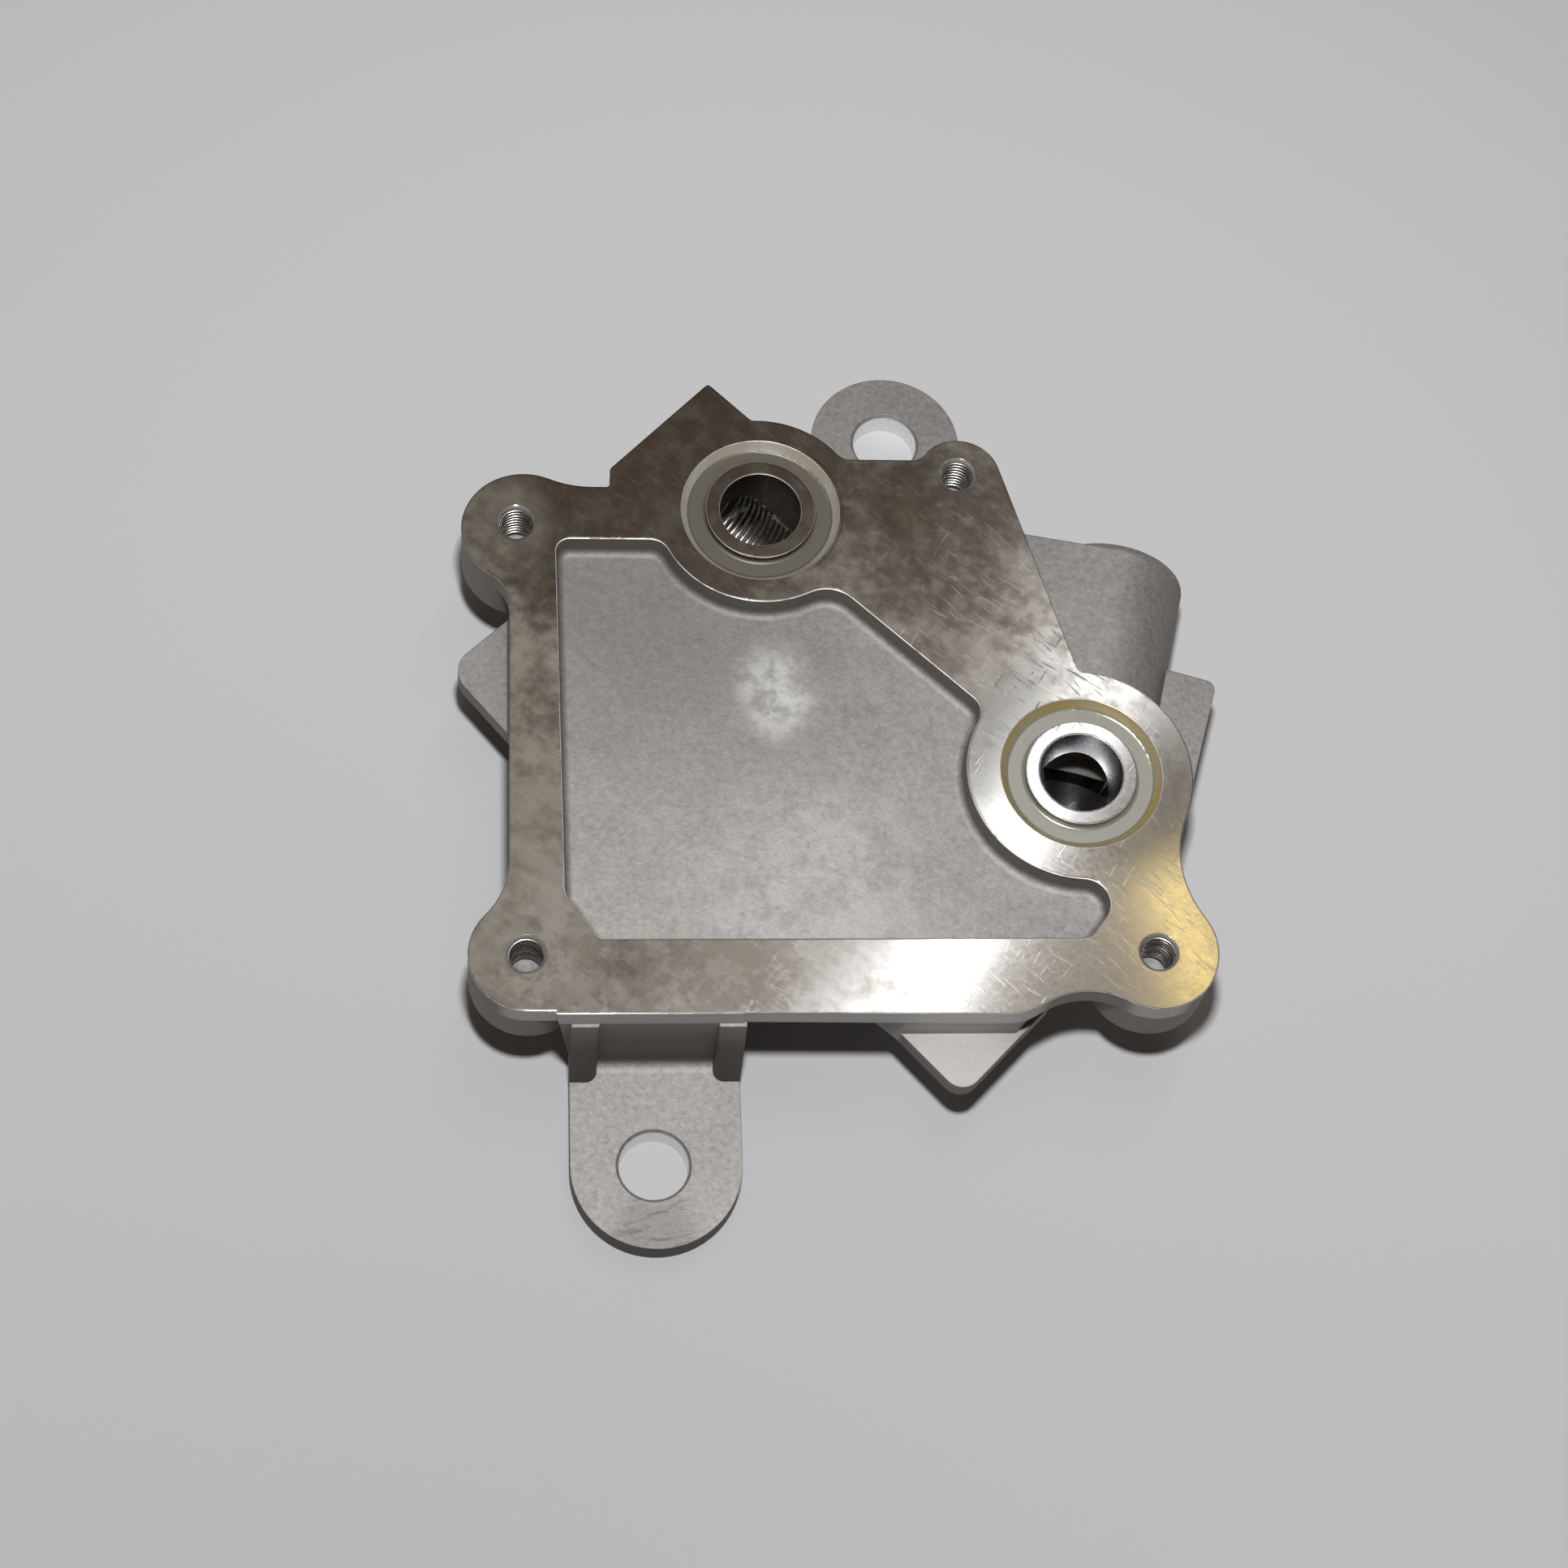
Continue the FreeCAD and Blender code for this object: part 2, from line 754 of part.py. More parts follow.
# Bosses that deepen the four bolt lobes
LOBES = {
    "front_left": (front_left_lobe, size("front_left_lobe_radius")),
    "front_right": (front_right_lobe, size("front_right_lobe_radius")),
    "rear_left": (rear_left_lobe, size("rear_left_lobe_radius")),
    "rear_right": (rear_right_lobe, size("rear_right_lobe_radius")),
}
for name, (centre, radius) in LOBES.items():
    lobe_sketch = new_sketch(name + "_boss_outline", height=top)
    draw_circle(lobe_sketch, centre, radius)
    pad(name + "_boss", lobe_sketch, size("lobe_boss_depth"), down=True)

# Floor plate that carries the cast pocket
pocket_floor = top - size("pocket_depth")
plate_bottom = pocket_floor - size("floor_thickness")
plate_margin = size("floor_plate_margin")
plate_left = size("pocket_left_rear_x") - plate_margin
plate_front = size("pocket_front_y") - plate_margin
plate_right = size("pocket_tail_x") + plate_margin
plate_sketch = new_sketch("floor_plate_outline", height=plate_bottom)
draw_polygon(
    plate_sketch,
    [
        (plate_left, plate_front),
        (plate_right, plate_front),
        (plate_right, front_port[1]),
        (rear_port[0], rear_port[1]),
        (plate_left, size("pocket_rear_y") + plate_margin),
    ],
)
pad("floor_plate", plate_sketch, flange_middle - plate_bottom)

# Core block under the flange
core_bottom = size("lug_top_height") - size("lug_thickness")
core_left = size("left_edge_x") + size("core_setback")
core_sketch = new_sketch("core_outline", height=core_bottom)
core_front_left = (size("core_front_left_x"), size("core_front_y"))
core_front_right = (size("core_front_right_x"), size("core_front_y"))
draw_polygon(
    core_sketch,
    [
        (core_left, size("core_left_front_y")),
        core_front_left,
        core_front_right,
        (size("core_neck_x"), size("core_neck_y")),
        (size("core_side_x"), size("core_side_low_y")),
        (size("core_side_x"), size("core_side_high_y")),
        (size("side_edge_x"), size("side_edge_y") - size("core_corner_tuck")),
        (size("core_rear_right_x"), size("core_rear_right_y")),
        (size("core_rear_x"), size("core_rear_y")),
        (size("core_rear_left_x"), size("core_rear_left_y")),
        (core_left, size("core_left_rear_y")),
    ],
)
pad("core_block", core_sketch, flange_middle - core_bottom)

# Lugs, each a rounded corner of the mounting plate
left_tip = (size("left_lug_x"), size("left_lug_y"))
front_tip = (size("front_lug_x"), size("front_lug_y"))
right_tip = (size("right_lug_x"), size("right_lug_y"))
LUGS = {
    "left": (left_tip, "left_lug_rear_angle", "left_lug_front_angle", "lug_run"),
    "front": (front_tip, "front_lug_left_angle", "front_lug_right_angle", "lug_run"),
    "right": (right_tip, "right_lug_front_angle", "right_lug_rear_angle", "right_lug_front_run"),
}
for name, (tip, first_angle, second_angle, first_run) in LUGS.items():
    lug_sketch = new_sketch(name + "_lug_outline", height=core_bottom)
    first_end = step_from(tip, size(first_angle), size(first_run))
    second_end = step_from(tip, size(second_angle), size("lug_run"))
    draw_outline(
        lug_sketch,
        [Straight(first_end, tip), Straight(tip, second_end), Straight(second_end, first_end)],
        [corner(name + "_lug_round"), SHARP, SHARP],
    )
    pad(name + "_lug", lug_sketch, size("lug_thickness"))

# Inlet block, square outside and rounded about the rear port
inlet_height = flange_middle - size("inlet_bottom_height")
inlet_sketch = new_sketch(
    "inlet_block_outline",
    height=size("inlet_bottom_height"),
    base=rear_port,
    angle=inlet_angle,
)
half_width = size("inlet_half_width")
draw_outline(
    inlet_sketch,
    [
        Round((linked(0), linked(0)), half_width),
        Touching((size("inlet_reach"), -half_width), "before"),
        Straight((size("inlet_reach"), -half_width), (size("inlet_reach"), half_width)),
        Touching((size("inlet_reach"), half_width), "after"),
    ],
    [TOUCH, corner("inlet_corner_round"), corner("inlet_flank_round"), TOUCH],
)
pad("inlet_block", inlet_sketch, inlet_height)

# Outlet boss, a round bar with a ball end under the front port and a rounded outer end
axis_height = size("port_axis_height")
outlet_radius = size("outlet_radius")
outlet_sketch = new_sketch(
    "outlet_profile", height=axis_height, base=front_port, angle=size("outlet_angle")
)
outlet_reach = size("outlet_reach")
draw_outline(
    outlet_sketch,
    [
        Straight((-outlet_radius, linked(0)), (outlet_reach, linked(0))),
        Straight((outlet_reach, linked(0)), (outlet_reach, outlet_radius)),
        Touching((outlet_reach, outlet_radius), "after"),
        Round((linked(0), linked(0)), outlet_radius),
    ],
    [SHARP, corner("outlet_end_round"), TOUCH, SHARP],
)
turn_about("Revolution", "outlet_boss", outlet_sketch, "H_Axis")

# Web that closes the gap between the flange and the outlet boss, tangent to the boss
web_slope = size("web_slope")
web_width = size("web_width")
web_touch = (outlet_radius * sine(web_slope), outlet_radius * cosine(web_slope))
web_edge_height = web_touch[1] - (web_width - web_touch[0]) * tangent(web_slope)
web_sketch = upright_sketch(
    "web_profile", front_port, axis_height, size("outlet_angle") + square_turn
)
draw_polygon(
    web_sketch,
    [
        (linked(0), web_edge_height - size("web_thickness")),
        (web_width, web_edge_height - size("web_thickness")),
        (web_width, web_edge_height),
        web_touch,
        (linked(0), web_touch[1]),
    ],
)
pad("web", web_sketch, outlet_reach - size("web_end_setback"))


def draw_gusset(sketch, outer, inner, wall_face, side, reach_alias, round_alias):
    """Draw a gusset's outline in plan, rounded where its inner side meets its face."""
    back = wall_face - overrun * side
    face = wall_face + size(reach_alias) * side
    corners = [(outer, back), (outer, face), (inner, face), (inner, back)]
    anticlockwise = (inner.number > outer.number) == (side < 0)
    joints = [SHARP, corner(round_alias), SHARP, SHARP]
    if not anticlockwise:
        corners.reverse()
        joints = [corner(round_alias), SHARP, SHARP, SHARP]
    edges = [Straight(start, end) for start, end in zip(corners, corners[1:] + corners[:1])]
    draw_outline(sketch, edges, joints)


def bracket(name, ear, radius, wall_face, side, flares):
    """Stand an ear off the flange on an upright wall with two gussets.

    The side is -1 for a bracket whose ear points to the front and 1 for the rear.
    """
    left = ear[0] - radius
    right = ear[0] + radius
    thickness = size("bracket_wall_thickness")
    wall_back = wall_face - thickness * side
    ear_top = size("ear_thickness")

    wall_sketch = upright_sketch(name + "_wall_outline", (linked(0), wall_face), linked(0))
    wall_top = flares["top"]
    wall_corners = [(left, linked(0)), (right, linked(0))]
    if "left" in flares:
        flare_start = ear_top + size("foot_fillet")
        wall_corners.append((right, flare_start))
        wall_corners.append((right + flares["right"], wall_top))
        wall_corners.append((left - flares["left"], wall_top))
        wall_corners.append((left, flare_start))
    else:
        wall_corners.append((right, wall_top))
        wall_corners.append((left, wall_top))
    draw_polygon(wall_sketch, wall_corners)
    pad(name + "_wall", wall_sketch, thickness, down=side < 0)

    ear_sketch = new_sketch(name + "_ear_outline", height=linked(0))
    start, end = (right, left) if side < 0 else (left, right)
    draw_outline(
        ear_sketch,
        [
            Round(ear, radius),
            Touching((start, wall_back), "before"),
            Straight((start, wall_back), (end, wall_back)),
            Touching((end, wall_back), "after"),
        ],
        [TOUCH, SHARP, SHARP, TOUCH],
    )
    pad(name + "_ear", ear_sketch, ear_top)

    width = size("gusset_width")
    for hand, outer, inner in (("left", left, left + width), ("right", right, right - width)):
        gusset = "%s_%s_gusset" % (name, hand)
        low_sketch = new_sketch(gusset + "_low_outline", height=ear_top / 2)
        draw_gusset(low_sketch, outer, inner, wall_face, side, "gusset_reach", "gusset_round")
        high_sketch = new_sketch(gusset + "_high_outline", height=flares["gusset_top"])
        draw_gusset(high_sketch, outer, inner, wall_face, side, "gusset_top_reach", "gusset_top_round")
        loft(gusset, low_sketch, high_sketch)

    fillet = size("foot_fillet")
    foot_sketch = side_sketch(name + "_foot_profile", left + width / 2)
    corner_point = (wall_face + fillet * side, ear_top + fillet)
    low = (wall_face + fillet * side, ear_top)
    high = (wall_face, ear_top + fillet)
    inner = (wall_face - overrun * side, ear_top - overrun)
    draw_foot(foot_sketch, corner_point, fillet, low, high, inner)
    pad(name + "_foot", foot_sketch, radius * 2 - width)


front_ear_centre = (size("front_ear_shift"), linked(0))
bracket(
    "front",
    front_ear_centre,
    size("front_ear_radius"),
    size("front_wall_y"),
    -1,
    {
        "left": size("front_wall_left_flare"),
        "right": size("front_wall_right_flare"),
        "top": top,
        "gusset_top": flange_bottom,
    },
)
bracket(
    "rear",
    rear_ear,
    size("rear_ear_radius"),
    size("notch_edge_y") - size("core_setback"),
    1,
    {
        "top": flange_middle,
        "gusset_top": top - size("lobe_boss_depth") + size("gusset_top_reach"),
    },
)

# Recess cored into the underside of the block, crossed by two ribs
rim = size("recess_wall")
recess_sketch = new_sketch("recess_outline", height=core_bottom)
port_clear = outlet_radius + size("recess_port_clearance")
draw_polygon(
    recess_sketch,
    [
        (core_left + rim, size("core_left_front_y") + rim * RECESS_SLANT),
        (core_front_left[0] + rim * RECESS_SLANT, core_front_left[1] + rim),
        (core_front_right[0] - rim * RECESS_FRONT, core_front_right[1] + rim),
        (size("core_neck_x") - rim * RECESS_NECK, size("core_neck_y")),
        (front_port[0], front_port[1] - port_clear),
        (front_port[0] - port_clear, front_port[1]),
        (rear_port[0] + size("recess_rear_right_shift"), rear_port[1] - port_clear),
        (rear_port[0] - size("recess_rear_left_shift"), rear_port[1] - port_clear),
        (core_left + rim, size("core_left_rear_y") - rim * RECESS_REAR),
    ],
)
recess_height = size("recess_top_height") - core_bottom
pocket("underside_recess", recess_sketch, recess_height, up=True)

rib_half = size("rib_thickness") / 2
for name, base_x, base_y, length in (
    ("first", "first_rib_x", "first_rib_y", "first_rib_length"),
    ("second", "second_rib_x", "second_rib_y", "second_rib_length"),
):
    rib_sketch = new_sketch(
        name + "_rib_outline",
        height=core_bottom,
        base=(size(base_x), size(base_y)),
        angle=size("rib_angle"),
    )
    draw_polygon(
        rib_sketch,
        [
            (linked(0), -rib_half),
            (size(length), -rib_half),
            (size(length), rib_half),
            (linked(0), rib_half),
        ],
    )
    pad(name + "_rib", rib_sketch, recess_height + overrun)

# Cast pocket in the top face
pocket_sketch = new_sketch("pocket_outline", height=top)
pocket_front = size("pocket_front_y")
pocket_left_front = (size("pocket_left_front_x"), pocket_front)
pocket_left_rear = (size("pocket_left_rear_x"), size("pocket_rear_y"))
pocket_cut = (size("pocket_cut_x"), size("pocket_cut_y"))
pocket_tail = (size("pocket_tail_x"), size("pocket_tail_y"))
port_line = arctangent(rear_port[1] - front_port[1], rear_port[0] - front_port[0])
diagonal_offset = size("pocket_diagonal_offset")
diagonal_start = step_from(front_port, port_line + square_turn, diagonal_offset)
diagonal_end = step_from(rear_port, port_line + square_turn, diagonal_offset)
draw_outline(
    pocket_sketch,
    [
        Straight(pocket_left_front, (pocket_tail[0], pocket_front)),
        Straight(pocket_tail, step_from(pocket_tail, size("pocket_tail_angle"), EDGE_RUN)),
        Round(front_port, size("pocket_front_port_radius"), -1),
        Straight(diagonal_start, diagonal_end),
        Round(rear_port, size("pocket_rear_port_radius"), -1),
        Straight((rear_port[0], size("pocket_rear_y")), pocket_left_rear),
        Straight(pocket_left_rear, pocket_left_front),
        Straight(pocket_cut, step_from(pocket_cut, size("pocket_cut_angle"), EDGE_RUN)),
    ],
    [
        corner("pocket_tip_round"),
        corner("pocket_tail_round"),
        corner("pocket_elbow_round"),
        corner("pocket_hump_round"),
        corner("pocket_shoulder_round"),
        corner("pocket_corner_round"),
        corner("pocket_cut_round"),
        corner("pocket_cut_round"),
    ],
)
cast_pocket = pocket("cast_pocket", pocket_sketch, size("pocket_depth"), taper=-size("pocket_draft"))
round_edges(
    "pocket_floor_fillet",
    cast_pocket,
    size("pocket_floor_fillet"),
    lambda edge: is_level(edge, pocket_floor),
)

# Oil ports in the top face, with their seal grooves
for name, centre in (("rear_port", rear_port), ("front_port", front_port)):
    bore_sketch = new_sketch(name + "_bore_outline", height=top)
    draw_circle(bore_sketch, centre, size("port_bore_radius"))
    pocket(name + "_bore", bore_sketch, top - axis_height)
    groove_sketch = upright_sketch(name + "_groove_profile", centre, top)
    groove_floor = -size("port_groove_depth")
    land = size("port_land_radius")
    rim_radius = size("port_groove_radius")
    slope_foot = rim_radius - size("port_groove_slope")
    draw_outline(
        groove_sketch,
        [
            Straight((land, groove_floor), (slope_foot, groove_floor)),
            Straight((slope_foot, groove_floor), (rim_radius, linked(0))),
            Straight((rim_radius, linked(0)), (rim_radius, overrun)),
            Straight((rim_radius, overrun), (land, overrun)),
            Straight((land, overrun), (land, groove_floor)),
        ],
        [corner("port_groove_round"), SHARP, SHARP, SHARP, corner("port_groove_round")],
    )
    turn_about("Groove", name + "_groove", groove_sketch, "V_Axis")

# Horizontal bores that meet the oil ports, threaded at their mouths
bore_cut("inlet", rear_port, inlet_angle, size("inlet_reach"))
bore_cut("outlet", front_port, size("outlet_angle"), outlet_reach)

# Holes through the ears
for name, centre in (("front", front_ear), ("rear", rear_ear)):
    hole_sketch = upright_sketch(name + "_ear_hole_profile", centre, size("ear_thickness"))
    radius = size("ear_hole_radius")
    mouth = size("ear_mouth_radius")
    draw_polygon(
        hole_sketch,
        [
            (linked(0), -(size("ear_thickness") + overrun)),
            (radius, -(size("ear_thickness") + overrun)),
            (radius, radius - mouth),
            (mouth, linked(0)),
            (mouth, overrun),
            (linked(0), overrun),
        ],
    )
    turn_about("Groove", name + "_ear_hole", hole_sketch, "V_Axis")

# Tapped holes for the cooler
for name, centre in (
    ("front_left", front_left_bolt),
    ("front_right", front_right_bolt),
    ("rear_left", rear_left_bolt),
    ("rear_right", rear_right_bolt),
):
    hole_sketch = upright_sketch(name + "_bolt_hole_profile", centre, top)
    radius = size("bolt_hole_radius")
    mouth = size("bolt_mouth_radius")
    depth = size("bolt_hole_depth")
    draw_polygon(
        hole_sketch,
        [
            (linked(0), -(depth + radius * DRILL_POINT)),
            (radius, -depth),
            (radius, radius - mouth),
            (mouth, linked(0)),
            (mouth, overrun),
            (linked(0), overrun),
        ],
    )
    turn_about("Groove", name + "_bolt_hole", hole_sketch, "V_Axis")

doc.recompute()
failed = [item.Name for item in doc.Objects if set(item.State) & {"Invalid", "Error"}]
if failed:
    raise SystemExit("features that failed: " + ", ".join(failed))
shape = casting.Shape
if shape.isNull() or not shape.isValid() or len(shape.Solids) != 1:
    raise SystemExit("the casting is not one valid solid")
os.makedirs("parts", exist_ok=True)
shape.exportStep("parts/%s.step" % casting.Label)
print("oil_cooler_base", round(shape.Volume), shape.BoundBox)
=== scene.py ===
import logging
import math
from dataclasses import dataclass
from enum import Enum
from typing import Union

import bmesh
import bpy
from mathutils import Euler, Matrix, Vector


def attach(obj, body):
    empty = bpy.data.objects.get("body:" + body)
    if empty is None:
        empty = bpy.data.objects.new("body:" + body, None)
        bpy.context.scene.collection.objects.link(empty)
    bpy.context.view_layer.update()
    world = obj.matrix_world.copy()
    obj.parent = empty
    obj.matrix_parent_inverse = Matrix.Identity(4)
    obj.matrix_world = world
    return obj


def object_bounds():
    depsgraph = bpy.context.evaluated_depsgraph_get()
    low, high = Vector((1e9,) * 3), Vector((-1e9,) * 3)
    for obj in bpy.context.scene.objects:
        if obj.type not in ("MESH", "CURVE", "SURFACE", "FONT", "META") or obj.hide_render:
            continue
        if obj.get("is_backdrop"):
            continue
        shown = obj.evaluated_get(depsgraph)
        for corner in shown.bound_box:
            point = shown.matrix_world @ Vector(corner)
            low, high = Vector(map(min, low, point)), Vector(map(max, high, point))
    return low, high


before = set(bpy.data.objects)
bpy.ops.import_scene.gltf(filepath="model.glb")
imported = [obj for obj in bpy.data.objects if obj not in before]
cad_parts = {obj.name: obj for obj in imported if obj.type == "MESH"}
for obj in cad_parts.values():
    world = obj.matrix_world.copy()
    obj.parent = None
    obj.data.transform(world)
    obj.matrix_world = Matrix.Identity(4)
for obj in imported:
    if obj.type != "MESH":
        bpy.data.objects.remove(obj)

log = logging.getLogger("oil_cooler_base")
Socket = bpy.types.NodeSocket
Number = Union[float, bpy.types.NodeSocket]
Colour = tuple[float, float, float]
Spot = tuple[float, float]
Pair = tuple[float, float]
Place = tuple[float, float, float]
Edge = tuple[int, int]

CASTING_NODE = "oil_cooler_base"
TOP_HEIGHT = 0.038
PORT_AXIS_HEIGHT = 0.0195
NOISE_MEAN = 0.5
BEAD_SIDES = 6


class Plan(Enum):
    """Centres in the plan of the casting, in metres."""

    REAR_PORT = (0.0268, 0.1522)
    FRONT_PORT = (0.0989, 0.0836)
    FRONT_LEFT_BOLT = (-0.0289, 0.0390)
    FRONT_RIGHT_BOLT = (0.1131, 0.0390)
    REAR_LEFT_BOLT = (-0.0310, 0.1480)
    REAR_RIGHT_BOLT = (0.0745, 0.1623)
    FRONT_EAR = (0.0, 0.0)
    REAR_EAR = (0.0619, 0.1894)


BOLTS = (Plan.FRONT_LEFT_BOLT, Plan.FRONT_RIGHT_BOLT, Plan.REAR_LEFT_BOLT, Plan.REAR_RIGHT_BOLT)


class Rim(Enum):
    """Kinds of rim round the milled top face."""

    POCKET = "pocket"
    PORT = "port"
    OUTER = "outer"


@dataclass(frozen=True)
class Patch:
    """A soft patch in plan, full within its inner radius and gone past its outer one."""

    centre: Spot
    inner: float
    outer: float
    strength: float = 1.0
    stretch: Pair = (1.0, 1.0)


@dataclass(frozen=True)
class Cloud:
    """A noise by blotches per metre, octaves and their weight, and where it starts and is full.

    One with a stretch runs in lines along its angle in plan.
    """

    scale: float
    detail: float
    rough: float
    low: float = 0.0
    high: float = 1.0
    angle: float = 0.0
    stretch: float = 1.0


class TreeSketch:
    """Short calls that lay out the nodes of one tree."""

    tree: bpy.types.NodeTree

    def node(self, kind: str, inputs: dict, **settings: object) -> bpy.types.Node:
        """Add one node and feed it.

        Args:
            kind: Type name of the node.
            inputs: Values or sockets by input name or index.
            settings: Properties of the node.

        Returns:
            The new node.
        """
        item = self.tree.nodes.new(kind)
        for key, value in settings.items():
            setattr(item, key, value)
        for key, value in inputs.items():
            self.feed(item.inputs[key], value)
        return item

    def feed(self, socket: Socket, value: object) -> None:
        """Set a socket to a value or link it to another socket.

        Args:
            socket: Input to feed.
            value: A number, a colour, a vector or an output socket.
        """
        if isinstance(value, bpy.types.NodeSocket):
            self.tree.links.new(value, socket)
        elif isinstance(value, tuple) and len(value) == 3 and socket.type == "RGBA":
            socket.default_value = (*value, 1.0)
        else:
            socket.default_value = value

    def math(self, operation: str, *terms: Number) -> Socket:
        """Do arithmetic on one or two terms."""
        return self.node("ShaderNodeMath", dict(enumerate(terms)), operation=operation).outputs[0]


class Sketcher(TreeSketch):
    """Short calls that lay out the nodes of one procedural material."""

    def __init__(self, name: str) -> None:
        """Start a material with nothing but its surface shader.

        Args:
            name: Name of the material.
        """
        self.material = bpy.data.materials.new(name)
        self.material.use_nodes = True
        self.tree = self.material.node_tree
        self.tree.nodes.clear()
        output = self.node("ShaderNodeOutputMaterial", {})
        self.shader = self.node("ShaderNodeBsdfPrincipled", {})
        self.tree.links.new(self.shader.outputs["BSDF"], output.inputs["Surface"])
        self.place = self.node("ShaderNodeTexCoord", {}).outputs["Object"]
        axes = self.node("ShaderNodeSeparateXYZ", {"Vector": self.place})
        self.x, self.y, self.z = axes.outputs[0], axes.outputs[1], axes.outputs[2]

    def set(self, name: str, value: object) -> None:
        """Feed an input of the surface shader."""
        self.feed(self.shader.inputs[name], value)

    def fold(self, operation: str, terms: tuple[Number, ...]) -> Socket:
        """Join all terms by one operation, from the left.

        Args:
            operation: Name of the operation.
            terms: Two or more numbers or sockets.

        Returns:
            The result's socket.
        """
        total = terms[0]
        for term in terms[1:]:
            total = self.math(operation, total, term)
        return total

    def plus(self, *terms: Number) -> Socket:
        """Add all terms together."""
        return self.fold("ADD", terms)

    def times(self, *terms: Number) -> Socket:
        """Multiply all terms together."""
        return self.fold("MULTIPLY", terms)

    def most(self, *terms: Number) -> Socket:
        """The largest of all terms."""
        return self.fold("MAXIMUM", terms)

    def inverse(self, value: Number) -> Socket:
        """One less the value."""
        return self.math("SUBTRACT", 1.0, value)

    def rise(self, value: Number, low: float, high: float, start: float = 0.0, end: float = 1.0) -> Socket:
        """Map a value smoothly from one span to another and hold it there.

        Args:
            value: Value to map.
            low: Where the rise starts.
            high: Where the rise ends.
            start: Result below the rise.
            end: Result above the rise.

        Returns:
            The result's socket.
        """
        inputs = {"Value": value, "From Min": low, "From Max": high, "To Min": start, "To Max": end}
        return self.node("ShaderNodeMapRange", inputs, interpolation_type="SMOOTHSTEP").outputs[0]

    def fall(self, value: Number, low: float, high: float, start: float = 1.0) -> Socket:
        """Let a value fall smoothly from its start at the low end to nothing at the high end."""
        return self.rise(value, low, high, start, 0.0)

    def noise(self, cloud: Cloud) -> Socket:
        """Plain noise between about 0.2 and 0.8.

        Args:
            cloud: Pattern of the noise.

        Returns:
            The noise value's socket.
        """
        place = self.place if cloud.stretch == 1.0 else self.turned(cloud.angle, cloud.stretch)
        inputs = {"Vector": place, "Scale": cloud.scale, "Detail": cloud.detail, "Roughness": cloud.rough}
        return self.node("ShaderNodeTexNoise", inputs).outputs["Fac"]

    def cloud(self, cloud: Cloud) -> Socket:
        """A noise that rises from nothing to full over the pattern's own span."""
        return self.rise(self.noise(cloud), cloud.low, cloud.high)

    def turned(self, angle: float, stretch: float) -> Socket:
        """Coordinates turned in plan and stretched, for marks that run one way.

        Args:
            angle: Turn in degrees.
            stretch: Scale across the marks.

        Returns:
            The coordinates' socket.
        """
        turn = {"Vector": self.place, "Angle": math.radians(-angle)}
        along = self.node("ShaderNodeVectorRotate", turn, rotation_type="Z_AXIS").outputs[0]
        scaled = {0: along, 1: (1.0, stretch, 1.0)}
        return self.node("ShaderNodeVectorMath", scaled, operation="MULTIPLY").outputs[0]

    def mix(self, factor: Number, first: object, second: object, blend: str = "MIX") -> Socket:
        """Blend two colours.

        Args:
            factor: Share of the second.
            first: Colour or socket.
            second: Colour or socket.
            blend: Way of blending.

        Returns:
            The mixed colour's socket.
        """
        item = self.tree.nodes.new("ShaderNodeMix")
        item.data_type = "RGBA"
        item.blend_type = blend
        self.feed(item.inputs[0], factor)
        self.feed(item.inputs[6], first)
        self.feed(item.inputs[7], second)
        return item.outputs[2]

    def from_centre(self, centre: Spot, stretch: Pair = (1.0, 1.0)) -> Socket:
        """Distance in plan from a centre.

        Args:
            centre: Centre in plan.
            stretch: Scale along x and y before measuring.

        Returns:
            The distance's socket, in metres.
        """
        across = self.times(self.math("SUBTRACT", self.x, centre[0]), stretch[0])
        along = self.times(self.math("SUBTRACT", self.y, centre[1]), stretch[1])
        return self.math("SQRT", self.plus(self.times(across, across), self.times(along, along)))

    def patch(self, patch: Patch) -> Socket:
        """A soft patch at its strength."""
        away = self.from_centre(patch.centre, patch.stretch)
        return self.fall(away, patch.inner, patch.outer, patch.strength)


@dataclass(frozen=True)
class PortMasks:
    """Distances from the two ports and masks of all that lies within their grooves."""

    rear: Number
    front: Number
    in_rear: Number
    in_front: Number


